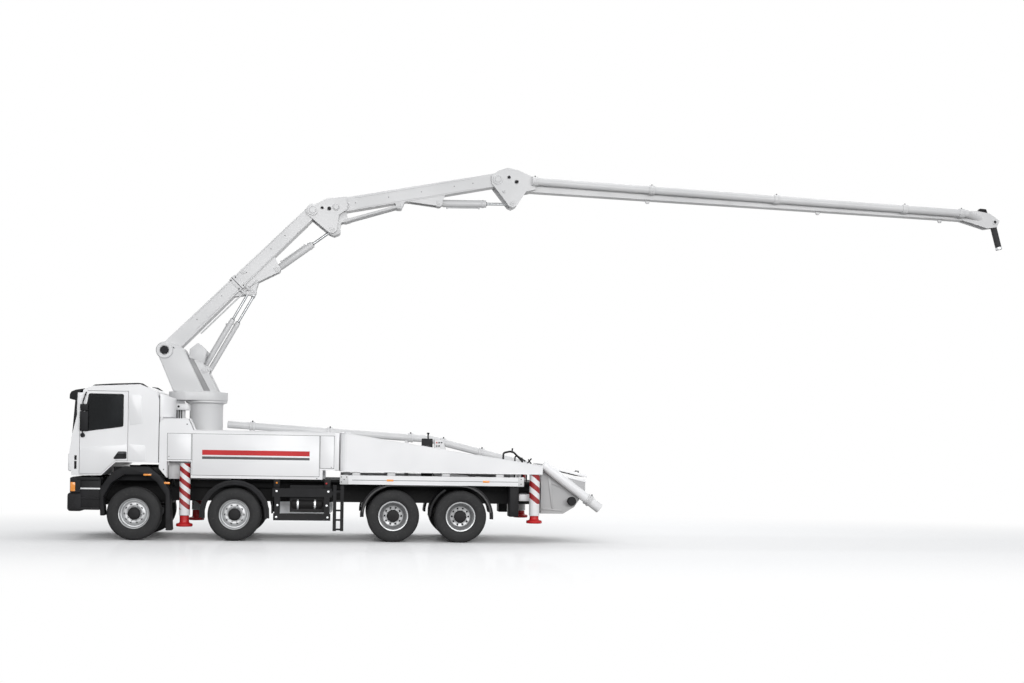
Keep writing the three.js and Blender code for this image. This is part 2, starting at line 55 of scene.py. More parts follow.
# ---- shader arithmetic ----
class Wire:
    """A shader value that takes part in ordinary arithmetic."""

    def __init__(self, recipe, socket):
        self.recipe = recipe
        self.socket = socket

    def maths(self, operation, *values):
        inputs = dict(enumerate(values))
        return self.recipe.node("ShaderNodeMath", {"operation": operation}, inputs)

    def __add__(self, other):
        return self.maths("ADD", self, other)

    def __sub__(self, other):
        return self.maths("SUBTRACT", self, other)

    def __rsub__(self, other):
        return self.maths("SUBTRACT", other, self)

    def __mul__(self, other):
        return self.maths("MULTIPLY", self, other)

    __radd__ = __add__
    __rmul__ = __mul__

    def rise(self, low, high):
        """0 below low, 1 above high, smooth between."""
        return self.recipe.node("ShaderNodeMapRange", {"interpolation_type": "SMOOTHSTEP", "clamp": True},
                                {0: self, 1: low, 2: high})

    def repeat(self, pitch):
        """The value's place within its pitch, from 0 to 1."""
        return self.maths("FRACT", self * (1 / pitch))


class Nodes:
    """A node tree emptied for building, with one method for any node."""

    def __init__(self, tree):
        self.tree = tree
        tree.nodes.clear()

    def feed(self, socket, value):
        if isinstance(value, Wire):
            self.tree.links.new(value.socket, socket)
        elif isinstance(value, tuple) and len(socket.default_value) == 4:
            socket.default_value = (*value, 1)
        else:
            socket.default_value = value

    def node(self, kind, settings=None, inputs=None, output=0):
        made = self.tree.nodes.new(kind)
        for name, value in (settings or {}).items():
            setattr(made, name, value)
        for key, value in (inputs or {}).items():
            self.feed(made.inputs[key], value)
        return Wire(self, made.outputs[output])

    def mix(self, factor, one, two):
        return self.node("ShaderNodeMix", {"data_type": "RGBA"}, {0: factor, 6: one, 7: two}, 2)


class Recipe(Nodes):
    """A surface material: its shader, and its place on the piece."""

    def __init__(self, name, **constants):
        self.material = bpy.data.materials.new(name)
        self.material.use_nodes = True
        super().__init__(self.material.node_tree)
        self.shader = self.tree.nodes.new("ShaderNodeBsdfPrincipled")
        output = self.tree.nodes.new("ShaderNodeOutputMaterial")
        self.tree.links.new(self.shader.outputs[0], output.inputs["Surface"])
        for socket, value in constants.items():
            self.shader.inputs[socket.replace("_", " ")].default_value = value
        self.spot = self.node("ShaderNodeTexCoord", output="Object")

    def axes(self):
        split = self.node("ShaderNodeSeparateXYZ", inputs={0: self.spot})
        return [Wire(self, socket) for socket in split.socket.node.outputs]

    def stretched(self, scale, turn=(0, 0, 0)):
        """The place on the piece, stretched along its axes for drawn or brushed grain."""
        return self.node("ShaderNodeMapping", inputs={"Vector": self.spot, "Scale": scale,
                                                      "Rotation": turn})

    def noise(self, scale, detail=3, where=None):
        return self.node("ShaderNodeTexNoise", inputs={
            "Vector": where or self.spot, "Scale": scale, "Detail": detail})

    def finish(self, colour, roughness, height=None, distance=0.001, strength=0.5):
        self.feed(self.shader.inputs["Base Color"], colour)
        self.feed(self.shader.inputs["Roughness"], roughness)
        if height is not None:
            bump = self.node("ShaderNodeBump", inputs={
                "Height": height, "Distance": distance, "Strength": strength})
            self.feed(self.shader.inputs["Normal"], bump)
        return self.material


# ---- finishes ----
DUST = (0.42, 0.40, 0.37)


def road_dust(recipe, top, amount):
    """Dust that thickens towards the ground and breaks up in patches."""
    height = recipe.axes()[2]
    patches = recipe.noise(2.2, 4).rise(0.35, 0.75)
    return (1 - height.rise(0.1, top)) * (patches * 0.7 + 0.3) * amount


def gloss_paint(name, colour, shade, roughness=0.3, dust_top=1.6, dust=0.16, colour_at=None):
    """Sprayed paint: a faint drift in tone, orange peel, and dust low down."""
    recipe = Recipe(name, Coat_Weight=0.12, Coat_Roughness=0.12, Specular_IOR_Level=0.35)
    drift = recipe.noise(0.9, 2).rise(0.3, 0.7)
    ground = recipe.mix(drift, colour, shade)
    if colour_at:
        ground = colour_at(recipe, ground)
    dirt = road_dust(recipe, dust_top, dust)
    peel = recipe.noise(85, 2)
    return recipe.finish(recipe.mix(dirt, ground, DUST), dirt * 0.5 + drift * 0.06 + roughness,
                         peel, 0.0005, 0.15)


def striped(pitch, foot):
    """Warning bands that run down to the right round a leg, above the height of its plain foot."""
    def bands(recipe, ground):
        x, _, z = recipe.axes()
        band = (x * 0.8 + z + 40).repeat(pitch)
        mask = (band.rise(0.49, 0.50) - band.rise(0.985, 0.995)) * z.rise(foot, foot + 0.002)
        return recipe.mix(mask, ground, (0.30, 0.003, 0.006))
    return bands


def rail_colours(recipe, ground):
    """White side rail over dark mudguards, which share one solid."""
    height = recipe.axes()[2]
    return recipe.mix(height.rise(1.1535, 1.1545), (0.022, 0.022, 0.024), ground)


def satin_dark(name, colour, worn, roughness=0.5, grain=150, dust=0.25):
    """Dark satin paint or moulded plastic: grain, worn patches, road dust."""
    recipe = Recipe(name, Specular_IOR_Level=0.14)
    patches = recipe.noise(3.5, 4).rise(0.4, 0.8)
    dirt = road_dust(recipe, 1.2, dust)
    colour = recipe.mix(patches, colour, worn)
    return recipe.finish(recipe.mix(dirt, colour, (0.13, 0.12, 0.11)), dirt + patches * 0.12 + roughness,
                         recipe.noise(grain, 3), 0.0015, 0.35)


def rubber(name, colour):
    recipe = Recipe(name, Specular_IOR_Level=0.3)
    patches = recipe.noise(5, 4).rise(0.35, 0.75)
    scuffs = recipe.noise(26, 5).rise(0.55, 0.75)
    colour = recipe.mix(patches, colour, tuple(c * 1.5 for c in colour))
    return recipe.finish(recipe.mix(scuffs * 0.3, colour, (0.07, 0.068, 0.065)),
                         0.62 + patches * 0.2, recipe.noise(190, 3), 0.0015, 0.5)


def bare_metal(name, colour, shade, roughness, stretch=(4, 4, 160), metallic=1.0):
    """Brushed or ground metal: fine grain along one way and a few stains."""
    recipe = Recipe(name, Metallic=metallic)
    grain = recipe.noise(1.0, 4, recipe.stretched(stretch))
    stains = recipe.noise(6, 4).rise(0.45, 0.8)
    tone = recipe.mix(grain, colour, shade)
    return recipe.finish(recipe.mix(stains * 0.4, tone, tuple(c * 0.6 for c in shade)),
                         grain * 0.15 + stains * 0.15 + roughness, grain, 0.0004, 0.3)


def woven_cloth(name):
    recipe = Recipe(name, Sheen_Weight=0.4, Sheen_Roughness=0.5)
    x, y, z = recipe.axes()
    thread = 2 * math.pi / 0.006
    weft = y.maths("SINE", y * thread)
    warp = x.maths("SINE", (x + z) * thread)
    weave = weft * warp * 0.5 + 0.5
    channels = (y + 20).repeat(0.12)
    stripe = channels.rise(0.1, 0.14) - channels.rise(0.86, 0.9)
    patches = recipe.noise(8, 3)
    tone = recipe.mix(stripe, (0.02, 0.021, 0.025), (0.055, 0.058, 0.068))
    tone = recipe.mix(weave * 0.5 + patches * 0.2, tone, (0.09, 0.09, 0.10))
    return recipe.finish(tone, 0.8 + weave * 0.12, weave, 0.002, 0.6)


def tinted_glass(name):
    recipe = Recipe(name, Specular_IOR_Level=0.18, Alpha=0.92)
    film = recipe.noise(1.4, 3).rise(0.3, 0.8)
    return recipe.finish(recipe.mix(film, (0.008, 0.009, 0.010), (0.016, 0.018, 0.020)),
                         0.04 + film * 0.06, recipe.noise(3, 1), 0.0004, 0.1)


def lamp_lens(name, colour, glow):
    recipe = Recipe(name, Coat_Weight=0.6)
    x, y, _ = recipe.axes()
    rib = (x + y * 0.3).repeat(0.012).rise(0.2, 0.8)
    colour_mix = recipe.mix(rib * 0.35, colour, tuple(c * 0.6 for c in colour))
    recipe.feed(recipe.shader.inputs["Emission Color"], colour_mix)
    recipe.shader.inputs["Emission Strength"].default_value = glow
    return recipe.finish(colour_mix, 0.15 + rib * 0.1, rib, 0.001, 0.5)


WHITE = (0.83, 0.83, 0.838)
FINISH = {
    "white_paint": gloss_paint("white paint", WHITE, (0.755, 0.757, 0.765)),
    "front_bands": gloss_paint("front leg paint with red bands", WHITE, (0.75, 0.75, 0.76),
                               colour_at=striped(0.210, 0.61)),
    "rear_bands": gloss_paint("rear leg paint with red bands", WHITE, (0.75, 0.75, 0.76),
                              colour_at=striped(0.245, 0.80)),
    "rail_paint": gloss_paint("rail and mudguard paint", WHITE, (0.74, 0.74, 0.75), 0.35,
                              colour_at=rail_colours),
    "boom_paint": gloss_paint("boom paint", (0.62, 0.62, 0.624), (0.56, 0.562, 0.567), 0.36, 1.8, 0.1),
    "red_paint": gloss_paint("red paint", (0.52, 0.003, 0.006), (0.42, 0.003, 0.005), 0.42, 0.9, 0.04),
    "chassis_paint": satin_dark("chassis paint", (0.005, 0.005, 0.0055), (0.012, 0.012, 0.0125), dust=0.12),
    "dark_trim": satin_dark("moulded dark trim", (0.011, 0.011, 0.012), (0.020, 0.020, 0.022), 0.48, 220,
                            0.12),
    # The hopper's mid grey, darker than the boom paint, is painted shade: the hopper and its ribs stand in shade.
    "hopper_painted_shade": gloss_paint("hopper paint darkened as painted shade", (0.44, 0.44, 0.444), (0.38, 0.38, 0.384), 0.42, 1.4, 0.2),
    # Boom paint darkened as painted shade, for faces that the light does not reach.
    "shade_grey": gloss_paint("shaded boom paint", (0.30, 0.30, 0.303), (0.26, 0.26, 0.264), 0.5, 1.8, 0.1),
    "joint_gap": satin_dark("shadowed joint", (0.10, 0.10, 0.105), (0.14, 0.14, 0.145), 0.7),
    "stripe_grey": gloss_paint("grey stripe paint", (0.075, 0.077, 0.08), (0.06, 0.062, 0.065)),
    "tyre_rubber": rubber("tyre rubber", (0.0155, 0.0155, 0.016)),
    "hose_rubber": rubber("hose rubber", (0.030, 0.030, 0.031)),
    "rod_chrome": bare_metal("hard chrome", (0.40, 0.41, 0.42), (0.28, 0.285, 0.29), 0.16, (3, 3, 3)),
    "tank_metal": bare_metal("brushed aluminium", (0.72, 0.73, 0.74), (0.55, 0.56, 0.57), 0.3, (120, 3, 3)),
    "wheel_metal": bare_metal("wheel metal", (0.50, 0.505, 0.51), (0.36, 0.365, 0.37), 0.34, (9, 9, 9),
                              0.7),
    "seat_cloth": woven_cloth("seat cloth"),
    "window_glass": tinted_glass("tinted glass"),
    "lamp_amber": lamp_lens("amber lens", (0.78, 0.26, 0.015), 0.15),
    "lamp_clear": lamp_lens("clear lens", (0.55, 0.57, 0.60), 0.05),
    "lamp_red": lamp_lens("red lens", (0.5, 0.01, 0.01), 0.1),
}

NODE_FINISH = {
    "white_paint": ["cab_shell", "cab_door_left", "cab_door_right", "locker_left", "locker_right",
                    "pedestal",
                    "hydraulic_tank", "hopper_lid", "rear_outrigger_left", "rear_outrigger_right",
                    "front_outrigger_left", "front_outrigger_right", "rear_chute_pipe"],
    "rail_paint": ["side_rail_left", "side_rail_right"],
    "hopper_painted_shade": ["hopper"],
    "boom_paint": ["deck_pipe", "pump_unit", "turret", "first_arm", "second_arm", "third_arm",
                   "lift_cylinder", "second_cylinder", "third_cylinder"],
    "chassis_paint": ["front_axle_1", "front_axle_2", "drive_axle_1", "drive_axle_2", "chassis_frame",
                      "engine", "subframe", "knuckle_axle1_left", "knuckle_axle1_right",
                      "knuckle_axle2_left", "knuckle_axle2_right"],
    "dark_trim": ["bumper_and_arches", "mudguard_axle2_left", "mudguard_axle2_right", "dashboard",
                  "tool_rack_and_ladder"],
    "tank_metal": ["fuel_tank"],
    "rod_chrome": ["lift_rod", "second_rod", "third_rod"],
    "red_paint": ["front_foot_left", "front_foot_right", "rear_foot_left", "rear_foot_right"],
}
for finish, names in NODE_FINISH.items():
    for name in names:
        NODES[name].data.materials.clear()
        NODES[name].data.materials.append(FINISH[finish])


# ---- modelling ----
CREASE = math.radians(32)


def start():
    bpy.ops.object.select_all(action="DESELECT")


def pick(piece):
    """Selects this piece alone."""
    start()
    piece.select_set(True)
    bpy.context.view_layer.objects.active = piece


def edit(piece):
    pick(piece)
    bpy.ops.object.mode_set(mode="EDIT")
    bpy.ops.mesh.select_all(action="SELECT")


def close(piece, bevel=0.0, segments=2):
    """Outward faces, rounded edges, and smooth shading up to a crease."""
    bpy.ops.mesh.select_all(action="SELECT")
    bpy.ops.mesh.remove_doubles(threshold=1e-5)
    bpy.ops.mesh.normals_make_consistent(inside=False)
    if bevel:
        bpy.ops.mesh.bevel(offset=bevel, segments=segments, affect="EDGES", clamp_overlap=True)
    bpy.ops.object.mode_set(mode="OBJECT")
    bpy.ops.object.shade_smooth_by_angle(angle=CREASE)
    return piece


def ring_of(points, fill):
    """A ring of corners laid on the points, from a disc with as many corners."""
    start()
    bpy.ops.mesh.primitive_circle_add(vertices=len(points), radius=1, fill_type=fill)
    piece = bpy.context.object
    for corner, point in zip(piece.data.vertices, points):
        corner.co = point
    return piece


def rounded(corners, radius, steps=4, closed=True):
    """The line through the corners with each one turned on a radius."""
    corners = [Vector(corner) for corner in corners]
    points = []
    for index, here in enumerate(corners):
        if not closed and index in (0, len(corners) - 1):
            points.append(here)
            continue
        before = corners[index - 1] - here
        after = corners[(index + 1) % len(corners)] - here
        half = before.angle(after) / 2
        cut = min(radius / math.tan(half), 0.48 * before.length, 0.48 * after.length)
        bend = cut * math.tan(half)
        middle = here + (before.normalized() + after.normalized()).normalized() * bend / math.sin(half)
        first = here + before.normalized() * cut - middle
        last = here + after.normalized() * cut - middle
        points += [middle + first.lerp(last, i / steps).normalized() * bend for i in range(steps + 1)]
    return points


def drawn_out(piece, reach):
    """Draws the open piece's faces out along a vector, and leaves it open."""
    edit(piece)
    bpy.ops.mesh.extrude_region_move(TRANSFORM_OT_translate={"value": reach})
    return piece


def side_plate(outline, y0, y1, bevel=0.0, segments=2):
    """A plate with a side outline in X and Z, from y0 to y1."""
    piece = ring_of([place(x, y0, z) for x, z in outline], "NGON")
    return close(drawn_out(piece, (0, y1 - y0, 0)), bevel, segments)


def side_frame(outline, width, y0, y1):
    """A flat frame: the outline's border, from y0 to y1."""
    piece = ring_of([place(x, y0, z) for x, z in outline], "NGON")
    edit(piece)
    bpy.ops.mesh.inset(thickness=width)
    bpy.ops.mesh.delete(type="FACE")
    bpy.ops.mesh.select_all(action="SELECT")
    bpy.ops.mesh.extrude_region_move(TRANSFORM_OT_translate={"value": (0, y1 - y0, 0)})
    return close(piece)


def block(low, high, bevel=0.008, segments=2):
    low, high = place(*low), place(*high)
    start()
    bpy.ops.mesh.primitive_cube_add(size=1, location=(low + high) / 2, scale=high - low)
    bpy.ops.object.transform_apply()
    piece = bpy.context.object
    edit(piece)
    return close(piece, bevel, segments)


def turned(profile, foot, axis, steps=40, closed=False):
    """A lathe piece: (radius, distance along the axis) points swept round the axis from its foot."""
    axis = Vector(axis).normalized()
    outward = axis.orthogonal().normalized()
    foot = Vector(foot)
    piece = ring_of([foot + axis * along + outward * radius for radius, along in profile], "NOTHING")
    if not closed:
        last = len(profile) - 1
        for corner in piece.data.vertices:
            corner.select = corner.index in (0, last)
        for edge in piece.data.edges:
            edge.select = set(edge.vertices) == {0, last}
        pick(piece)
        bpy.context.tool_settings.mesh_select_mode = (False, True, False)
        bpy.ops.object.mode_set(mode="EDIT")
        bpy.ops.mesh.delete(type="EDGE_FACE")
        bpy.ops.mesh.select_mode(type="VERT")
        bpy.ops.object.mode_set(mode="OBJECT")
    edit(piece)
    bpy.ops.mesh.spin(steps=steps, angle=2 * math.pi, center=foot, axis=axis)
    return close(piece)


def bar(begin, end, radius, lip=0.004, steps=24):
    """A round bar between two points, its ends eased."""
    begin, end = Vector(begin), Vector(end)
    length = (end - begin).length
    profile = [(0, 0), (radius - lip, 0), (radius, lip), (radius, length - lip), (radius - lip, length),
               (0, length)]
    return turned(profile, begin, end - begin, steps)


def bent_bar(points, radius, bend=0.06):
    """A bent round bar through the points."""
    line = rounded([place(*point) for point in points], bend, 5, closed=False)
    curve = bpy.data.curves.new("bar", "CURVE")
    curve.dimensions = "3D"
    curve.bevel_depth = radius
    curve.bevel_resolution = 3
    curve.use_fill_caps = True
    spline = curve.splines.new("POLY")
    spline.points.add(len(line) - 1)
    for point, spot in zip(spline.points, line):
        point.co = (*spot, 1)
    piece = bpy.data.objects.new("bar", curve)
    bpy.context.scene.collection.objects.link(piece)
    pick(piece)
    bpy.ops.object.convert(target="MESH")
    piece = bpy.context.object
    edit(piece)
    return close(piece)


def coat(piece, finish):
    piece.data.materials.clear()
    piece.data.materials.append(FINISH[finish])
    return piece


def joined(*pieces):
    start()
    for piece in pieces:
        piece.select_set(True)
    bpy.context.view_layer.objects.active = pieces[0]
    bpy.ops.object.join()
    return bpy.context.object


def moved(piece, matrix):
    """A copy of the piece, with a mesh of its own, carried by the matrix."""
    twin = piece.copy()
    twin.data = piece.data.copy()
    bpy.context.scene.collection.objects.link(twin)
    twin.data.transform(matrix)
    if matrix.determinant() < 0:
        twin.data.flip_normals()
    return twin


ACROSS = Matrix.Scale(-1, 4, (0, 1, 0))


def fit(piece, name, body, slot, *stands_for):
    """Names the piece and makes it ride on a body, hiding the parts it stands for. The slot is not used."""
    piece.name = name
    piece.data.name = name
    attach(piece, body)
    if stands_for:
        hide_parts(*stands_for)
    return piece


def fit_both(piece, name, body, slot, *stands_for):
    """The piece on the left side and its mirror image on the right, on the bodies of those sides."""
    other = moved(piece, ACROSS)
    for made, side in ((piece, "left"), (other, "right")):
        fit(made, f"{name}_{side}", body.format(side), slot, *[node.format(side) for node in stands_for])


# ---- wheels and tyres ----
TYRE_RADIUS = AXLE_Z  # the tread meets the ground
RIM_RADIUS = 0.297
GROOVES = (-0.075, -0.026, 0.026, 0.075)
STEERED_Y = 1.095
TWIN_Y = 0.940


def tyre(offset=0.0):
    """A tyre about the world's origin, its axis along +Y: bead, bulging wall, shoulder and grooved tread."""
    wall = [(RIM_RADIUS - 0.012, 0.118), (RIM_RADIUS + 0.012, 0.126), (RIM_RADIUS + 0.022, 0.134),
            (0.350, 0.142), (0.352, 0.1445), (0.358, 0.1455), (0.395, 0.148), (0.440, 0.146),
            (0.476, 0.139), (0.478, 0.141), (0.496, 0.134), (0.511, 0.124), (TYRE_RADIUS - 0.004, 0.110),
            (TYRE_RADIUS, 0.098)]
    tread = []
    for groove in reversed(GROOVES):
        tread += [(TYRE_RADIUS, groove + 0.007), (TYRE_RADIUS - 0.014, groove + 0.005),
                  (TYRE_RADIUS - 0.014, groove - 0.005), (TYRE_RADIUS, groove - 0.007)]
    profile = wall + tread + [(radius, -along) for radius, along in reversed(wall)]
    return coat(turned([(r, y + offset) for r, y in profile], (0, 0, 0), (0, 1, 0), 72, True),
                "tyre_rubber")


def hand_holes(radius, along, count=10, size=0.019):
    """Round holes in a ring of the wheel disc, each a rolled lip round a dark disc that is painted shade for the
    hole's depth.
    """
    lip = turned([(size, -0.004), (size, 0.003), (size + 0.002, 0.005), (size + 0.005, 0.003),
                  (size + 0.005, -0.004)],
                 (radius, along, 0), (0, 1, 0), 20, True)
    # The dark disc is painted shade: no hole is cut, and its dark colour stands for the shade inside the hole.
    hole_shade_disc = turned([(0, -0.006), (size + 0.001, -0.006), (size + 0.001, 0.0005), (0, 0.0005)],
                    (radius, along, 0), (0, 1, 0), 20)
    hole = joined(coat(lip, "wheel_metal"), coat(hole_shade_disc, "chassis_paint"))
    return joined(hole, *[moved(hole, Matrix.Rotation(2 * math.pi * i / count, 4, "Y")) for i in range(1,
                                                                                                       count)])


def wheel_nuts(radius, along, count=10, size=0.016):
    """Domed nuts in a ring."""
    nut = turned([(0, 0), (size, 0), (size, 0.014), (size * 0.6, 0.026), (0, 0.028)],
                 (radius, along, 0), (0, 1, 0), 6)
    coat(nut, "wheel_metal")
    nuts = [moved(nut, Matrix.Rotation(2 * math.pi * i / count, 4, "Y")) for i in range(1, count)]
    return joined(nut, *nuts)


def front_rim():
    """Convex steel disc with a bright lip."""
    disc = turned([(0, 0.075), (0.125, 0.075), (0.150, 0.088), (0.168, 0.092), (0.205, 0.088),
                   (0.232, 0.070),
                   (0.245, 0.058), (0.262, 0.060), (0.276, 0.094), (0.284, 0.122), (0.296, 0.128),
                   (0.301, 0.122), (0.296, 0.100), (0.272, 0.040), (0.268, -0.1), (0.296, -0.128),
                   (0.290, -0.134), (0.255, -0.1), (0.250, 0.030), (0, 0.030)], (0, 0, 0), (0, 1, 0), 80)
    hub = turned([(0, 0.148), (0.060, 0.146), (0.100, 0.138), (0.113, 0.126), (0.119, 0.110),
                  (0.122, 0.073),
                  (0, 0.073)], (0, 0, 0), (0, 1, 0), 48)
    return joined(coat(disc, "wheel_metal"), coat(hub, "dark_trim"), wheel_nuts(0.141, 0.082),
                  hand_holes(0.180, 0.0905))


def rear_rim():
    """Deep-dished disc of the outer twin wheel, with a bright lip."""
    lip, floor = 0.290, 0.145
    disc = turned([(0, floor), (0.12, floor), (0.185, floor + 0.002), (0.205, floor + 0.012),
                   (0.222, floor + 0.045), (0.262, lip - 0.02), (0.270, lip - 0.012), (0.276, lip),
                   (0.296, lip + 0.004), (0.301, lip), (0.296, lip - 0.02), (0.275, lip - 0.05),
                   (0.272, 0.05), (0.250, 0.05), (0.240, floor - 0.03), (0, floor - 0.03)],
                  (0, 0, 0), (0, 1, 0), 80)
    inner = coat(turned([(0.272, 0.05), (0.272, -0.25), (0.296, -lip), (0.262, -lip), (0.25, -0.2),
                         (0.25, 0.04)], (0, 0, 0), (0, 1, 0), 48, True), "wheel_metal")
    hub = turned([(0, 0.268), (0.085, 0.266), (0.112, 0.258), (0.122, 0.240), (0.124, floor - 0.01),
                  (0, floor - 0.01)], (0, 0, 0), (0, 1, 0), 48)
    return joined(coat(disc, "wheel_metal"), inner, coat(hub, "dark_trim"), wheel_nuts(0.138, floor),
                  hand_holes(0.172, floor + 0.0015))


def dress_wheels():
    """Every wheel stands on its node's middle; the right side is the same wheel turned about."""
    single_tyre, single_rim = tyre(), front_rim()
    twin_tyres = joined(tyre(0.157), tyre(-0.157))
    twin_rim = rear_rim()
    for kind, tyres, rim, axles in (("wheel", single_tyre, single_rim, (1, 2)),
                                    ("twin_wheel", twin_tyres, twin_rim, (3, 4))):
        for axle in axles:
            for side, sign in SIDES:
                node = f"{kind}_axle{axle}_{side}"
                low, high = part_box(node)
                middle = (low + high) / 2
                centre = STEERED_Y if kind == "wheel" else TWIN_Y
                matrix = (Matrix.Translation((middle.x, sign * centre, AXLE_Z))
                          @ Matrix.Rotation(0 if sign > 0 else math.pi, 4, "Z"))
                rubber_part = moved(tyres, matrix)
                fit(rubber_part, f"tyre_axle{axle}_{side}", node, "tyre_rubber", node)
                fit(moved(rim, matrix), f"rim_axle{axle}_{side}", node, "wheel_metal")
    for pattern in (single_tyre, single_rim, twin_tyres, twin_rim):
        bpy.data.objects.remove(pattern)


dress_wheels()

# ---- cab ----
SKIN = -1.2  # outer face of the cab's left side


def along_screen(y, z, proud=0.0):
    """A point on the bulging windscreen: forward of the pillars, most of all at its middle."""
    bulge = 0.045 * (1 - (y / 1.12) ** 2)
    return place(-1.203 + (z - 2.05) * 0.075 - bulge - proud, y, z)


def windscreen():
    start()
    bpy.ops.mesh.primitive_grid_add(x_subdivisions=16, y_subdivisions=8, size=2)
    glass = bpy.context.object
    for corner in glass.data.vertices:
        corner.co = along_screen(corner.co.x * 1.1, 2.485 + corner.co.y * 0.40)
    glass.data.materials.append(FINISH["window_glass"])
    glass.data.materials.append(FINISH["dark_trim"])
    for face in glass.data.polygons:
        edge = abs(face.center.y) > 1.0 or not 2.17 < face.center.z < 2.80
        face.material_index = int(edge)
    shell = glass.modifiers.new("thickness", "SOLIDIFY")
    shell.thickness = 0.012
    shell.offset = 0
    pick(glass)
    bpy.ops.object.modifier_apply(modifier="thickness")
    edit(glass)
    fit(close(glass), "windscreen", "truck", "window_glass")
    edge = side_plate([(-1.203, 2.085), (-1.145, 2.885), (-1.105, 2.885), (-1.118, 2.55), (-1.108, 2.35),
                       (-1.080, 2.24), (-1.040, 2.175), (-1.150, 2.100)], -1.192, -1.075, 0.006)
    fit_both(coat(edge, "dark_trim"), "screen_edge", "truck", "dark_trim")
    pillar = side_plate([(-1.106, 2.885), (-1.119, 2.55), (-1.109, 2.36), (-1.115, 2.30), (-1.10, 2.34),
                         (-1.040, 2.60), (-0.985, 2.885)], -1.196, -1.09, 0.004)
    fit_both(coat(pillar, "white_paint"), "screen_pillar", "truck", "white_paint")
    wipers = []
    for middle in (-0.75, 0.05, 0.75):
        foot, tip = along_screen(middle, 2.10, 0.02), along_screen(middle + 0.42, 2.34, 0.02)
        wipers.append(coat(bar(foot, tip, 0.009), "dark_trim"))
        wipers.append(coat(bar(foot + Vector((-0.004, 0, -0.02)), foot + Vector((0.03, 0, -0.02)), 0.022),
                           "dark_trim"))
    fit(joined(*wipers), "wipers", "truck", "dark_trim")


def cab_door_pieces():
    opening = rounded([(-0.993, 2.117), (-0.228, 2.228), (-0.228, 2.872), (-0.896, 2.872), (-0.988, 2.32)],
                      0.035)
    seal = coat(side_frame(opening, 0.022, SKIN - 0.005, SKIN + 0.012), "dark_trim")
    glass = coat(side_plate(opening, SKIN + 0.002, SKIN + 0.008), "window_glass")
    fit_both(joined(seal, glass), "door_window", "cab_door_{}", "window_glass")

    skin = side_plate([(-1.045, 1.30), (-0.655, 1.312), (-0.388, 1.572), (-0.155, 1.572), (-0.155, 1.878),
                       (-1.045, 1.80)], SKIN - 0.007, SKIN + 0.002, 0.0045, 3)
    fit_both(coat(skin, "white_paint"), "door_lower_skin", "cab_door_{}", "white_paint")

    grip = rounded([(-0.425, 1.588), (-0.158, 1.60), (-0.158, 1.742), (-0.315, 1.742)], 0.02)
    tray = coat(side_plate(grip, SKIN - 0.010, SKIN - 0.002, 0.002), "joint_gap")
    rim = coat(side_frame(grip, 0.012, SKIN - 0.016, SKIN - 0.002), "dark_trim")
    pocket = coat(side_plate([(-0.395, 1.60), (-0.17, 1.612), (-0.17, 1.70), (-0.33, 1.70)],
                             SKIN - 0.0115, SKIN - 0.009), "dark_trim")
    pull = coat(bent_bar([(-0.20, SKIN - 0.008, 1.635), (-0.20, SKIN - 0.030, 1.645),
                          (-0.20, SKIN - 0.030, 1.70), (-0.20, SKIN - 0.008, 1.71)], 0.007, 0.01),
                "dark_trim")
    fit_both(joined(tray, rim, pocket, pull), "door_grip", "cab_door_{}", "dark_trim")

    housing = block((-1.055, -1.248, 2.13), (-0.895, -1.214, 2.52), 0.014, 3)
    lower = block((-1.05, -1.247, 2.53), (-0.90, -1.215, 2.66), 0.012, 3)
    stays = bent_bar([(-1.0, -1.204, 2.045), (-1.0, -1.232, 2.055), (-1.0, -1.232, 2.70),
                      (-0.95, -1.232, 2.86), (-0.94, -1.204, 2.89)], 0.012)
    socket = turned([(0, 0), (0.042, 0), (0.046, 0.01), (0.042, 0.03), (0.02, 0.036), (0, 0.036)],
                    place(-1.0, SKIN, 2.05), (0, -1, 0), 24)
    mirror = joined(*[coat(piece, "dark_trim") for piece in (housing, lower, stays, socket)])
    fit_both(mirror, "mirror", "cab_door_{}", "dark_trim")


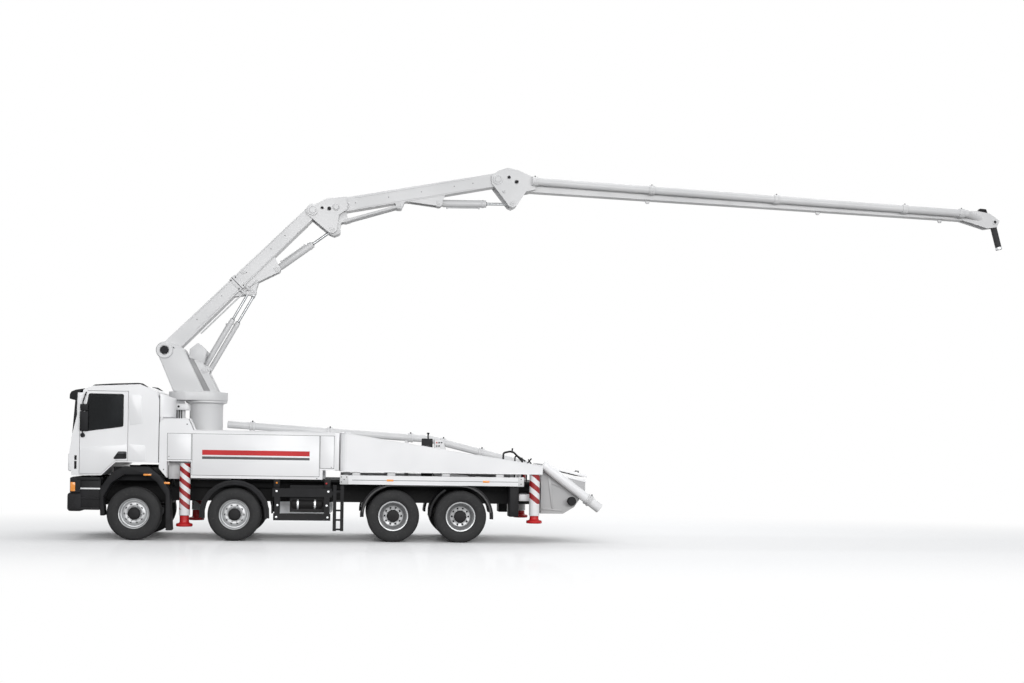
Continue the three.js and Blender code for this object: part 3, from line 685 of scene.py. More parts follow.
def cab_shell_pieces():
    visor = side_plate([(-1.270, 2.760), (-1.266, 2.850), (-1.235, 2.905), (-1.150, 2.940), (-0.985, 2.968),
                        (-0.975, 2.940), (-1.060, 2.905), (-1.090, 2.850), (-1.095, 2.765), (-1.18, 2.735)],
                       -1.165, 1.165, 0.010, 3)
    fit(coat(visor, "dark_trim"), "sun_visor", "truck", "dark_trim")
    strip = side_plate([(-0.88, 3.012), (-0.80, 3.050), (-0.45, 3.078), (0.02, 3.100), (0.11, 3.092),
                        (0.22, 3.020), (0.12, 3.040), (0.06, 3.055)], -1.10, -1.03, 0.005)
    fit_both(coat(strip, "dark_trim"), "roof_strip", "truck", "dark_trim")
    blank = side_plate(rounded([(-0.118, 2.262), (0.135, 2.30), (0.108, 2.855), (-0.118, 2.855)], 0.045),
                       SKIN - 0.006, SKIN + 0.002, 0.004, 3)
    lower = side_plate(rounded([(-0.118, 1.56), (0.215, 1.56), (0.19, 1.868), (-0.118, 1.884)], 0.04),
                       SKIN - 0.007, SKIN + 0.002, 0.0045, 3)
    fit_both(joined(coat(blank, "white_paint"), coat(lower, "white_paint")), "cab_side_panels", "truck",
             "white_paint")
    fairing = block((0.454, -1.13, 1.62), (0.52, -0.80, 2.46), 0.02, 4)
    turns = [math.radians(9 * i) for i in range(11)]
    plan = [(0.455 + 0.265 * math.sin(turn), -0.68 - 0.47 * math.cos(turn)) for turn in turns] + [(0.455,
                                                                                                   -0.68)]
    wing = ring_of([place(x, y, 2.43) for x, y in plan], "NGON")
    drawn_out(wing, (0, 0, 0.47))
    bpy.ops.object.mode_set(mode="OBJECT")
    for corner in wing.data.vertices:
        if corner.co.z > 2.6:
            corner.co.z -= 0.35 * (corner.co.x - place(0.455, 0, 0).x)
    edit(wing)
    close(wing, 0.012, 3)
    seam = block((0.446, -1.175, 1.60), (0.458, -0.78, 2.86), 0.004)
    fit_both(joined(coat(fairing, "white_paint"), coat(wing, "white_paint"), coat(seam, "joint_gap")),
             "cab_rear_fairing", "truck", "white_paint")

    slats = [coat(block((-1.273, -0.86, z), (-1.225, 0.86, z + 0.055), 0.010, 3), "dark_trim")
             for z in (1.36, 1.45, 1.54, 1.63, 1.72, 1.81)]
    back = coat(block((-1.262, -0.90, 1.34), (-1.215, 0.90, 1.89), 0.012), "joint_gap")
    fit(joined(back, *slats), "front_grille", "truck", "dark_trim")
    step = coat(block((-1.274, -1.198, 1.34), (-1.10, -0.93, 1.70), 0.035, 4), "white_paint")
    slots = [coat(block((-1.155, -1.2045, low), (-1.105, -1.185, high), 0.012, 3), "dark_trim")
             for low, high in ((1.385, 1.545), (1.560, 1.655))]
    fit_both(joined(step, *slots), "front_corner_panel", "truck", "white_paint")


def bumper_pieces():
    arch = [(-0.640, 0.480), (-0.660, 1.010), (-0.430, 1.330), (-0.210, 1.450), (0.280, 1.450),
            (0.500, 1.280),
            (0.680, 1.000), (0.735, 0.200), (0.615, 0.200), (0.605, 0.900), (0.430, 1.150), (0.250, 1.290),
            (-0.190, 1.290), (-0.440, 1.120), (-0.585, 0.850), (-0.555, 0.480)]
    parts = [side_plate(arch, -1.244, -0.96, 0.016, 3),
             block((-1.075, -1.215, 0.62), (-0.640, -0.96, 1.215), 0.012),
             block((-1.10, -1.243, 1.165), (-0.65, -0.96, 1.228), 0.014, 3),
             block((-1.10, -1.238, 0.590), (-0.65, -0.96, 0.64), 0.012, 3),
             block((-1.06, -1.238, 0.800), (-0.655, -1.0, 0.835), 0.010, 3),
             block((-1.274, -1.246, 0.560), (-0.985, -0.88, 0.925), 0.060, 5),
             block((-1.225, -1.240, 0.915), (-1.010, -0.90, 1.225), 0.030, 4)]
    tread = coat(block((-1.02, -1.243, 0.992), (-0.64, -1.17, 1.022), 0.006), "white_paint")
    lamp = coat(block((-1.213, -1.247, 0.950), (-1.120, -1.228, 1.130), 0.012, 3), "lamp_amber")
    marks = [coat(block((0.175, -1.249, 1.275), (0.325, -1.240, 1.310), 0.004), "lamp_amber"),
             coat(block((0.575, -1.249, 1.115), (0.685, -1.240, 1.155), 0.004), "lamp_amber")]
    parts.append(block((-0.44, -0.972, 1.17), (0.50, -0.950, 1.44), 0.006))
    fit_both(joined(*[coat(part, "dark_trim") for part in parts], tread, lamp, *marks),
             "bumper_side", "truck", "dark_trim")
    front = coat(block((-1.262, -0.91, 0.665), (-1.07, 0.91, 1.225), 0.022, 3), "dark_trim")
    slots = [coat(block((-1.268, -0.55, z), (-1.25, 0.55, z + 0.05), 0.008), "joint_gap") for z in (0.76,
                                                                                                    0.86)]
    lip = coat(block((-1.272, -0.90, 1.13), (-1.20, 0.90, 1.20), 0.02, 3), "dark_trim")
    fit(joined(front, lip, *slots), "bumper_front", "truck", "dark_trim", "bumper_and_arches")
    lens = coat(block((-1.274, -0.87, 0.955), (-1.25, -0.60, 1.10), 0.012, 3), "lamp_clear")
    bezel = coat(block((-1.270, -0.89, 0.935), (-1.25, -0.58, 1.12), 0.010), "joint_gap")
    bowl = coat(turned([(0, 0), (0.055, 0), (0.062, 0.006), (0.055, 0.009), (0, 0.006)],
                       place(-1.266, -0.79, 1.027), (-1, 0, 0), 32), "rod_chrome")
    fit_both(joined(lens, bezel, bowl), "head_lamp", "truck", "window_glass")


def pad(low, high, crown, axis):
    """A stuffed pad: eased edges and a face that swells towards its middle along one axis."""
    piece = block(low, high, 0.035, 3)
    edit(piece)
    bpy.ops.mesh.subdivide(number_cuts=5)
    bpy.ops.object.mode_set(mode="OBJECT")
    low, high = place(*low), place(*high)
    middle, half = (low + high) / 2, (high - low) / 2
    across = [i for i in range(3) if i != axis]
    for corner in piece.data.vertices:
        reach = 1.0
        for i in across:
            reach *= max(0.0, 1 - ((corner.co[i] - middle[i]) / half[i]) ** 2)
        corner.co[axis] += math.copysign(crown * reach, corner.co[axis] - middle[axis])
    bpy.ops.object.shade_smooth()
    return coat(piece, "seat_cloth")


def cab_seats():
    for name, y in (("left", -0.56), ("right", 0.56)):
        cushion = pad((-0.41, y - 0.235, 1.80), (0.12, y + 0.235, 1.94), 0.02, 2)
        fit(cushion, f"seat_cushion_{name}", "truck", "seat_cloth")
        back = pad((0.06, y - 0.225, 1.93), (0.17, y + 0.225, 2.60), 0.02, 0)
        lean = (Matrix.Translation(place(0.1, y, 1.93)) @ Matrix.Rotation(0.13, 4, "Y")
                @ Matrix.Translation(-place(0.1, y, 1.93)))
        back.data.transform(lean)
        fit(back, f"seat_back_{name}", "truck", "seat_cloth")
    bases = [coat(block((-0.38, y - 0.22, 1.695), (0.12, y + 0.22, 1.80), 0.02, 3), "dark_trim")
             for y in (-0.56, 0.56)]
    plinth = coat(block((-0.33, -0.90, 1.59), (0.15, 0.90, 1.70), 0.02, 3), "dark_trim")
    fit(joined(plinth, *bases), "seat_plinth", "truck", "dark_trim", "cab_seats")


# ---- lockers, rails and racks ----
PANELS = ([(0.630, 1.600), (1.085, 1.600), (1.085, 2.112), (0.630, 2.112)],
          [(1.108, 1.300), (3.590, 1.300), (3.590, 2.112), (1.108, 2.112)],
          [(3.610, 1.470), (3.880, 1.470), (3.880, 2.112), (3.610, 2.112)])


def bolts(spots, y, radius=0.012, finish="joint_gap"):
    """Round bolt heads on the left face at (X, Z) spots."""
    heads = []
    for x, z in spots:
        head = turned([(0, 0), (radius, 0), (radius, 0.004), (radius * 0.7, 0.007), (0, 0.007)],
                      place(x, y, z), (0, -1, 0), 16)
        heads.append(coat(head, finish))
    return heads


def locker_pieces():
    gaps, doors = [], []
    for outline in PANELS:
        wide = [(x + math.copysign(0.007, x - sum(p[0] for p in outline) / 4),
                 z + math.copysign(0.007, z - sum(p[1] for p in outline) / 4)) for x, z in outline]
        gaps.append(coat(side_plate(wide, -1.2415, -1.238), "joint_gap"))
        doors.append(coat(side_plate(rounded(outline, 0.012, 3), -1.2465, -1.2405, 0.0025), "white_paint"))
    dots = bolts([(0.56, 1.40), (0.66, 1.66), (3.55, 1.26), (3.83, 1.26 + 0.23), (1.00, 2.30)], -1.2400)
    fit_both(joined(*doors, *gaps, *dots), "locker_doors", "truck", "white_paint")
    stripe = coat(side_plate([(1.30, 1.70), (3.40, 1.70), (3.40, 1.80), (1.30, 1.80)], -1.2475, -1.2460),
                  "red_paint")
    second = coat(side_plate([(1.30, 1.62), (3.40, 1.62), (3.40, 1.67), (1.30, 1.67)], -1.2475, -1.2460),
                  "stripe_grey")
    fit_both(joined(stripe, second), "locker_stripes", "truck", "red_paint")
    pocket = coat(block((0.625, -0.95, 1.21), (0.85, -0.93, 1.56), 0.004), "boom_paint")
    filler = coat(block((3.898, -1.238, 1.432), (3.984, -1.00, 2.178), 0.006), "white_paint")
    backing = coat(block((3.90, -0.952, 1.42), (4.16, -0.935, 2.15), 0.003), "boom_paint")
    fit_both(joined(filler, backing, pocket), "locker_end", "truck", "white_paint")
    top = side_plate([(0.53, 2.402), (1.045, 2.402), (1.145, 2.182), (3.895, 2.182), (3.895, 2.194),
                      (1.152, 2.194), (1.052, 2.414), (0.523, 2.414)], -1.2440, -0.956, 0.003)
    fit_both(coat(top, "white_paint"), "locker_top", "truck", "white_paint")
    lamps = [coat(turned([(0, 0), (0.018, 0), (0.018, 0.02), (0.010, 0.028), (0, 0.028)],
                         place(2.76, -1.20, 1.165), (0, -1, 0), 20), "lamp_amber"),
             coat(turned([(0, 0), (0.018, 0), (0.018, 0.02), (0.010, 0.028), (0, 0.028)],
                         place(3.74, -1.20, 1.165), (0, -1, 0), 20), "lamp_red")]
    hangers = [coat(block((x, -1.20, 1.06), (x + 0.12, -1.10, 1.245), 0.008), "dark_trim") for x in (2.70,
                                                                                                     3.70)]
    fit(joined(*hangers, *lamps), "rack_hangers", "truck", "dark_trim")


def rail_pieces():
    groove = coat(block((4.25, -1.2412, 1.236), (7.62, -1.2385, 1.246), 0.001), "joint_gap")
    lamps = [coat(block((x, -1.247, 1.222), (x + 0.135, -1.239, 1.262), 0.004, 3), "lamp_amber")
             for x in (4.94, 6.88)]
    bracket = coat(block((4.005, -1.244, 1.150), (4.168, -1.15, 1.342), 0.008), "boom_paint")
    tail = coat(block((7.60, -1.244, 1.148), (7.72, -1.15, 1.342), 0.008), "boom_paint")
    spacers = [coat(block((x, -1.20, 1.336), (x + 0.16, -1.12, 1.398), 0.006), "boom_paint")
               for x in (4.25, 4.95, 6.05, 7.15)]
    heads = bolts([(4.035, 1.20), (4.035, 1.30), (4.09, 1.25), (4.14, 1.30), (7.66, 1.20), (7.66, 1.30)],
                  -1.243)
    fit_both(joined(groove, bracket, tail, *spacers, *lamps, *heads), "rail_fittings", "truck",
             "boom_paint")
    side_box = coat(block((7.44, -1.16, 0.53), (7.63, -0.78, 1.148), 0.015, 3), "dark_trim")
    lid = coat(block((7.46, -1.168, 0.56), (7.60, -1.15, 1.11), 0.006), "dark_trim")
    fit_both(joined(side_box, lid), "side_box", "truck", "dark_trim")
    beam = coat(block((7.66, -0.95, 0.845), (7.90, 0.95, 0.985), 0.012, 3), "white_paint")
    posts = [coat(block((7.67, y, 0.98), (7.75, y + 0.08, 1.16), 0.008), "chassis_paint") for y in (-0.5,
                                                                                                    0.42)]
    red = [coat(block((7.893, y, 0.88), (7.907, y + 0.22, 0.95), 0.005, 3), "lamp_red") for y in (-0.90,
                                                                                                  0.68)]
    fit(joined(beam, *posts, *red), "rear_cross_beam", "truck", "white_paint")


def ring_part(x, inner, outer, first, last, steps=12):
    """Side outline of a part of a ring about an axle, in degrees up from straight back."""
    turns = [math.radians(first + (last - first) * i / steps) for i in range(steps + 1)]
    return ([(x + outer * math.cos(t), AXLE_Z + outer * math.sin(t)) for t in turns]
            + [(x + inner * math.cos(t), AXLE_Z + inner * math.sin(t)) for t in reversed(turns)])


def mudguard_cheeks():
    """The mudguards' deep side lips, with a stiffening bead along the outer edge."""
    second, third, fourth = [(low.x + high.x) / 2 - ORIGIN_X for low, high in (
        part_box("wheel_axle2_left"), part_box("twin_wheel_axle3_left"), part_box("twin_wheel_axle4_left"))]
    lips = []
    for x, first, last in ((second, -6, 186), (third, 111, 182), (fourth, -4, 69)):
        lips.append(side_plate(ring_part(x, 0.590, 0.690 if x == second else 0.665, first, last), -1.238,
                               -1.205, 0.006))
        lips.append(side_plate(ring_part(x, 0.640, 0.660, first + 2, last - 2), -1.243, -1.236, 0.002))
    inner = side_plate(ring_part(fourth, 0.600, 0.640, 120, 180), -1.19, -0.70, 0.004)
    fit_both(joined(*[coat(lip, "dark_trim") for lip in lips], coat(inner, "dark_trim")), "mudguard_lips",
             "truck",
             "dark_trim")


def rack_pieces():
    corners = bolts([(2.76, 1.0), (3.78, 1.0), (2.78, 0.72), (3.75, 0.72), (2.76, 0.485), (3.77, 0.485)],
                    -1.2395, 0.021, "tank_metal")
    tank = coat(turned([(0, 0), (0.10, 0.008), (0.145, 0.04), (0.152, 0.08), (0.152, 0.60), (0.145, 0.64),
                        (0.10, 0.672), (0, 0.68)], place(3.02, -1.0, 0.74), (1, 0, 0), 40), "chassis_paint")
    straps = [coat(turned([(0.150, 0), (0.157, 0), (0.157, 0.035), (0.150, 0.035)],
                          place(x, -1.0, 0.74), (1, 0, 0), 40, True), "tank_metal") for x in (3.16, 3.50)]
    fit(joined(tank, *straps, *corners), "rack_fittings", "truck", "chassis_paint")
    cap = coat(turned([(0, 0), (0.055, 0), (0.058, 0.012), (0.050, 0.032), (0, 0.035)],
                      place(2.92, 0.90, 1.099), (0, 0, 1), 32), "dark_trim")
    bands = [coat(side_frame([(2.695, 0.515), (2.757, 0.455), (3.783, 0.455), (3.845, 0.515),
                              (3.845, 1.045),
                              (3.783, 1.105), (2.757, 1.105), (2.695, 1.045)], 0.006, y, y + 0.045),
                  "dark_trim") for y in (0.72, 1.06)]
    fit(joined(cap, *bands), "fuel_tank_fittings", "truck", "dark_trim")


# ---- outriggers ----
def leg_pieces():
    for end, x, low, high, foot, finish in (("front", 0.96, 0.497, 1.53, 0.275, "front_bands"),
                                            ("rear", 7.96, 0.557, 1.402, 0.40, "rear_bands")):
        middle = place(x, -1.09, 0)
        up = (0, 0, 1)
        jacket = turned([(0.066, low), (0.103, low), (0.1065, low + 0.004), (0.1065, high), (0.1045, high),
                         (0.1045, low + 0.01), (0.066, low + 0.01)], middle, up, 48, True)
        fit_both(coat(jacket, finish), f"{end}_leg_jacket", end + "_outrigger_{}", "white_paint")
        cup = turned([(0, foot), (0.146, foot), (0.158, foot + 0.006), (0.160, foot + 0.016),
                      (0.160, foot + 0.046), (0.152, foot + 0.058), (0.112, foot + 0.066),
                      (0.098, foot + 0.078), (0.092, foot + 0.096), (0.092, low - 0.014),
                      (0.086, low - 0.008),
                      (0, low - 0.008)], middle, up, 48)
        rod = turned([(0, low - 0.01), (0.053, low - 0.01), (0.053, high - 0.13), (0, high - 0.13)],
                     middle, up, 32)
        fit_both(joined(coat(cup, "red_paint"), coat(rod, "rod_chrome")), f"{end}_leg_foot",
                 end + "_foot_{}", "red_paint", end + "_foot_{}")
    lip = side_plate([(3.97, 2.199), (8.098, 1.5825), (8.098, 1.568), (3.97, 2.1845)], -1.2445, -1.2385,
                     0.002)
    foot_lip = side_plate([(4.0, 1.402), (8.098, 1.402), (8.098, 1.416), (4.0, 1.416)], -1.2445, -1.2385,
                          0.002)
    end = coat(block((8.090, -1.238, 1.412), (8.1035, -0.962, 1.568), 0.004), "white_paint")
    cap = coat(turned([(0, 0), (0.07, 0), (0.07, 0.02), (0.06, 0.028), (0, 0.028)],
                      place(4.14, -1.10, 2.172), (0.15, 0, 1), 32), "boom_paint")
    fit_both(joined(coat(lip, "white_paint"), coat(foot_lip, "white_paint"), end, cap),
             "rear_arm_edges", "rear_outrigger_{}", "white_paint")


# ---- pedestal and turret ----
def pedestal_pieces():
    axis = place(1.24, 0, 0)
    column = turned([(0.30, 1.762), (0.44, 1.762), (0.44, 1.795), (0.400, 1.806), (0.345, 1.86),
                     (0.3375, 1.90), (0.3375, 2.70), (0.350, 2.735), (0.42, 2.762), (0.42, 2.797),
                     (0.30, 2.797)], axis, (0, 0, 1), 64, True)
    heads = []
    for i in range(20):
        turn = 2 * math.pi * i / 20
        spot = axis + Vector((0.415 * math.cos(turn), 0.415 * math.sin(turn), 1.793))
        heads.append(coat(turned([(0, 0), (0.014, 0), (0.014, 0.012), (0, 0.014)], spot, (0, 0, 1), 6),
                          "tank_metal"))
    fit(joined(coat(column, "boom_paint"), *heads), "slewing_column", "truck", "boom_paint")
    motor = turned([(0, 2.045), (0.092, 2.045), (0.092, 2.46), (0.075, 2.48), (0.075, 2.60), (0, 2.60)],
                   place(0.73, 0, 0), (0, 0, 1), 40)
    plate = block((0.61, -0.20, 2.60), (0.90, -0.125, 2.735), 0.012, 3)
    eye = coat(turned([(0, 0), (0.022, 0), (0.022, 0.006), (0, 0.006)], place(0.70, -0.198, 2.67),
                      (0, -1, 0),
                      20), "dark_trim")
    fit(joined(coat(motor, "white_paint"), coat(plate, "white_paint"), eye), "slewing_motor", "truck",
        "white_paint")
    lines = [bent_bar([(0.70 + 0.04 * i, -0.16, 1.78), (0.68 + 0.04 * i, -0.15, 2.05),
                       (0.66 + 0.05 * i, -0.16, 2.62)], 0.011, 0.1) for i in range(3)]
    fit(joined(*[coat(line, "hose_rubber") for line in lines]), "slewing_hoses", "truck", "hose_rubber")


def pin(x, z, y, radius, middle="boom_paint", cap=0.5, depth=0.022):
    """A pin head on the left face of a plate: retaining ring with a domed middle."""
    foot = place(x, -y, z)
    ring = turned([(0, -0.01), (radius, -0.01), (radius, depth * 0.5), (radius * 0.93, depth * 0.75),
                   (radius * (cap + 0.08), depth * 0.75), (radius * (cap + 0.04), depth * 0.45),
                   (0, depth * 0.45)],
                  foot, (0, -1, 0), 40)
    dome = turned([(0, 0), (radius * cap, 0), (radius * cap, depth * 0.8), (radius * cap * 0.85, depth),
                   (0, depth)], foot, (0, -1, 0), 32)
    return [coat(ring, "boom_paint"), coat(dome, middle)]


PINS = {
    "turret": [(0.420, 3.810, 0.335, 0.165, "dark_trim", 0.52, 0.045), (1.220, 3.420, 0.335, 0.060),
               (0.600, 3.865, 0.335, 0.022, "dark_trim")],
    "first_arm": [(2.135, 5.075, 0.110, 0.060), (2.625, 5.560, 0.145, 0.055),
                  (1.950, 5.480, 0.190, 0.055)],
    "second_arm": [(3.348, 6.783, 0.242, 0.110, "boom_paint", 0.6, 0.035), (3.755, 6.416, 0.242, 0.055),
                   # The two dark-domed heads right of the knuckle pin are painted shade: dark domes standing for
                   # the shade inside two holes in the plate.
                   (3.545, 6.840, 0.242, 0.034, "dark_trim", 0.8),
                   (3.690, 6.830, 0.242, 0.046, "dark_trim", 0.8),
                   (5.966, 7.065, 0.140, 0.055),
                   (3.830, 6.865, 0.242, 0.070, "boom_paint", 0.75, 0.040),
                   (4.030, 6.925, 0.165, 0.070, "boom_paint", 0.75, 0.050)],
    "third_arm": [(7.196, 7.578, 0.215, 0.105, "boom_paint", 0.6, 0.032), (7.516, 7.106, 0.215, 0.055),
                  # The two dark-domed heads right of the knuckle pin are painted shade: dark domes standing for the
                  # shade inside two holes in the plate.
                  (7.430, 7.635, 0.215, 0.040, "dark_trim", 0.8),
                  (7.594, 7.545, 0.215, 0.046, "dark_trim", 0.8),
                  (7.330, 7.330, 0.215, 0.034), (18.289, 7.107, 0.120, 0.060, "dark_trim", 0.5, 0.020),
                  (17.92, 7.190, 0.120, 0.042, "dark_trim", 0.5, 0.020)],
}


def boom_pins():
    for body, spots in PINS.items():
        heads = [piece for spot in spots for piece in pin(*spot)]
        heads += [moved(piece, ACROSS) for piece in heads]
        fit(joined(*heads), f"{body}_pins", body, "boom_paint")


def turret_pieces():
    """Slewing plate, hollow front post with its boss, rear strut with a sunk panel, and cylinder bracket."""
    base = [(0.93 + 0.45 * math.cos(math.radians(t)), 0.45 * math.sin(math.radians(t))) for t in range(90,
                                                                                                       271, 9)]
    base += [(1.22 + 0.45 * math.cos(math.radians(t)), 0.45 * math.sin(math.radians(t))) for t in range(-90, 91, 9)]
    plate = ring_of([place(x, y, 2.800) for x, y in base], "NGON")
    parts = [close(drawn_out(plate, (0, 0, 0.180)), 0.014, 3)]
    parts.append(block((0.62, -0.36, 2.978), (1.44, 0.36, 2.995), 0.004))
    web = [(0.60, 2.97), (1.13, 2.97), (0.90, 3.42), (0.42, 3.42)]
    parts.append(side_plate(web, -0.24, 0.24, 0.006))
    sided = [side_plate([(0.600, 2.975), (1.225, 2.975), (0.915, 3.620), (0.790, 3.862), (0.560, 3.960),
                         (0.250, 3.800)], -0.335, -0.235, 0.030, 4),
             turned([(0, 0.235), (0.172, 0.235), (0.175, 0.240), (0.175, 0.338), (0.168, 0.345),
                     (0, 0.345)],
                    place(0.42, 0, 3.81), (0, -1, 0), 48),
             side_plate([(1.350, 2.975), (1.500, 2.975), (1.215, 3.540), (1.160, 3.640), (1.000, 3.640)],
                        -0.325, -0.245, 0.008, 3),
             side_frame([(1.355, 2.985), (1.492, 2.985), (1.205, 3.535), (1.150, 3.625), (1.008, 3.625)],
                        0.026, -0.334, -0.320),
             side_plate([(0.905, 3.665), (0.920, 3.845), (1.085, 3.978), (1.263, 3.800), (1.215, 3.560)],
                        -0.335, -0.200, 0.016, 3),
             bar(place(1.22, -0.24, 3.42), place(1.22, -0.088, 3.42), 0.095, 0.006, 40),
             block((1.14, -0.24, 2.98), (1.30, -0.088, 3.42), 0.008)]
    parts += sided + [moved(piece, ACROSS) for piece in sided]
    # This plate's darker paint is painted shade: it stands for the strip between the front post and the rear strut
    # that faces down and away from the light.
    face = coat(side_plate([(1.19, 2.976), (1.37, 2.976), (1.02, 3.640), (0.89, 3.640)], -0.312, -0.240,
                           0.004),
                "shade_grey")
    heads = [face, moved(face, ACROSS)]
    for x, y in [(0.66, 0.40), (0.83, 0.405), (1.00, 0.405), (1.17, 0.405), (1.34, 0.39), (1.52, 0.20)]:
        for side in (-1, 1):
            head = turned([(0, 0), (0.018, 0), (0.018, 0.016), (0, 0.018)], place(x, side * y, 2.979),
                          (0, 0, 1), 6)
            heads.append(coat(head, "tank_metal"))
    fit(joined(*[coat(part, "boom_paint") for part in parts], *heads), "turret_post", "turret",
        "boom_paint",
        "turret")


def arm_collar():
    """The saddle round the first arm that carries its hydraulic lines, with two bars under it."""
    def along(reach, lift):
        return on_line(PIVOT_A, PIVOT_B, reach, lift)

    outline = [along(1.93, 0.155), along(2.10, 0.150), along(2.10, -0.165), along(1.93, -0.170)]
    cheek = side_plate(outline, -0.203, -0.178, 0.008, 3)
    strap = side_plate([along(1.93, 0.155), along(2.10, 0.150), along(2.10, 0.132), along(1.93, 0.136)],
                       -0.190, 0.190, 0.006)
    bands = [cheek, moved(cheek, ACROSS), strap]
    gap = side_plate([along(2.00, 0.157), along(2.015, 0.157), along(2.015, -0.170), along(2.00, -0.170)],
                     -0.2045, -0.180, 0.001)
    gaps = [gap, moved(gap, ACROSS)]
    knobs = []
    for reach, lift in ((1.955, 0.115), (2.07, 0.10), (1.955, -0.12), (2.07, -0.13)):
        x, z = along(reach, lift)
        knobs.append(coat(turned([(0, 0), (0.015, 0), (0.015, 0.006), (0.009, 0.010), (0, 0.010)],
                                 place(x, -0.202, z), (0, -1, 0), 20), "dark_trim"))
    arms = []
    for reach in (1.97, 2.09):
        x, z = along(reach, -0.14)
        x2, z2 = along(reach, -0.285)
        arms.append(bar(place(x, -0.15, z), place(x2, -0.15, z2), 0.026, 0.006, 24))
    line = []
    for y in (-0.15, -0.11):
        x, z = along(0.75, -0.235)
        x2, z2 = along(2.35, -0.235)
        line.append(bar(place(x, y, z), place(x2, y, z2), 0.013, 0.003, 16))
    fit(joined(*[coat(band, "boom_paint") for band in bands], *[coat(gap, "joint_gap") for gap in gaps],
               *knobs,
               *[coat(piece, "boom_paint") for piece in arms],
               *[coat(piece, "boom_paint") for piece in line]),
        "first_arm_collar", "first_arm", "boom_paint")


# ---- boom ----
CYLINDERS = {
    "lift": ((1.220, 3.420), (2.135, 5.075), 1.200, 0.450, 0.052, 0.026, 0.050),
    "second": ((2.625, 5.560), (3.755, 6.416), 0.920, 0.400, 0.072, 0.030, 0.082),
    "third": ((5.966, 7.065), (7.516, 7.106), 1.010, 0.520, 0.078, 0.030, 0.082),
}


def cylinder_pieces():
    """Each boom cylinder: barrel with gland nut, base eye and feed line; and its chromed rod with an eye.

    The lift cylinder is a pair of slim barrels side by side on shared eyes."""
    for name, (base, eye, barrel, piston, radius, rod, half) in CYLINDERS.items():
        foot, tip = place(base[0], 0, base[1]), place(eye[0], 0, eye[1])
        axis = tip - foot
        length = axis.length
        axis.normalize()
        up = axis.cross(Vector((0, 1, 0)))
        lanes = [Vector((0, -0.055, 0)) + up * 0.056, Vector((0, 0.055,
                                                              0)) - up * 0.056] if name == "lift" else [
            Vector((0, 0, 0))]
        painted, dark, chromed = [], [], []
        for lane in lanes:
            start_at = foot + lane
            painted.append(turned([(0, 0.062), (radius * 0.7, 0.062), (radius, 0.10),
                                   (radius, barrel - 0.10),
                                   (radius * 1.1, barrel - 0.095), (radius * 1.1, barrel - 0.055),
                                   (radius * 0.98, barrel - 0.045), (radius * 0.98, barrel - 0.004),
                                   (radius * 0.9, barrel), (rod + 0.004, barrel), (rod + 0.004, 0.13),
                                   (0, 0.13)],
                                  start_at, axis, 40))
            dark.append(turned([(rod + 0.003, barrel - 0.01), (rod + 0.014, barrel - 0.01),
                                (rod + 0.014, barrel + 0.012), (rod + 0.003, barrel + 0.012)],
                               start_at, axis, 36, True))
            chromed.append(turned([(0, piston), (rod, piston), (rod, length - 0.045), (0, length - 0.045)],
                                  start_at, axis, 36))
            chromed.append(turned([(0, length - 0.10), (rod * 1.35, length - 0.10),
                                   (rod * 1.5, length - 0.04),
                                   (0, length - 0.04)], start_at, axis, 32))
        side = up * (radius + 0.012) * (-1 if name == "third" else 1)
        if len(lanes) > 1:
            side = up * 0.115
            painted.append(block_between(foot + axis * 0.075, axis, up, (0.030, 0.105, 0.105)))
            chromed.append(block_between(tip - axis * 0.055, axis, up, (0.022, 0.085, 0.080)))
        painted.append(bar(foot - Vector((0, half - 0.004, 0)), foot + Vector((0, half - 0.004, 0)),
                           0.072, 0.006, 40))
        painted.append(bar(foot + axis * 0.18 + side, foot + axis * (barrel - 0.15) + side, 0.011, 0.002,
                           16))
        painted += [bar(foot + axis * at + side * 0.8, foot + axis * at + side * 1.22, 0.02, 0.003, 20)
                    for at in (0.18, barrel - 0.15)]
        rod_eye = bar(tip - Vector((0, half - 0.006, 0)), tip + Vector((0, half - 0.006, 0)), 0.062,
                      0.006, 40)
        fit(joined(*[coat(piece, "boom_paint") for piece in painted],
                   *[coat(piece, "dark_trim") for piece in dark]),
            f"{name}_barrel", f"{name}_cylinder", "boom_paint", f"{name}_cylinder")
        fit(joined(*[coat(piece, "rod_chrome") for piece in chromed], coat(rod_eye, "boom_paint")),
            f"{name}_piston_rod", f"{name}_rod", "rod_chrome", f"{name}_rod")


def block_between(middle, axis, up, half):
    """A yoke plate square to an axis: half sizes along the axis, along up and across the truck."""
    start()
    bpy.ops.mesh.primitive_cube_add(size=2)
    piece = bpy.context.object
    across = axis.cross(up)
    for corner in piece.data.vertices:
        reach = corner.co.copy()
        corner.co = middle + axis * reach.x * half[0] + up * reach.y * half[1] + across * reach.z * half[2]
    edit(piece)
    return close(piece, 0.012, 3)


def coupling(spot, axis, radius):
    """A two-part pipe clamp: ribbed collar with its bolt."""
    axis = Vector(axis).normalized()
    foot = Vector(spot) - axis * 0.06
    collar = turned([(radius, 0), (radius + 0.020, 0.004), (radius + 0.025, 0.018), (radius + 0.025, 0.042),
                     (radius + 0.012, 0.052), (radius + 0.012, 0.068), (radius + 0.025, 0.078),
                     (radius + 0.025, 0.102), (radius + 0.020, 0.116), (radius, 0.12)], foot, axis, 40,
                    True)
    side = axis.cross(Vector((0, 1, 0))).normalized()
    bolt = bar(foot + axis * 0.06 + side * (radius + 0.005), foot + axis * 0.06 + side * (radius + 0.042),
               0.014, 0.003, 6)
    return [coat(collar, "boom_paint"), coat(bolt, "dark_trim")]


def third_top(x):
    return 7.665 - (x - 7.938) * 0.0335


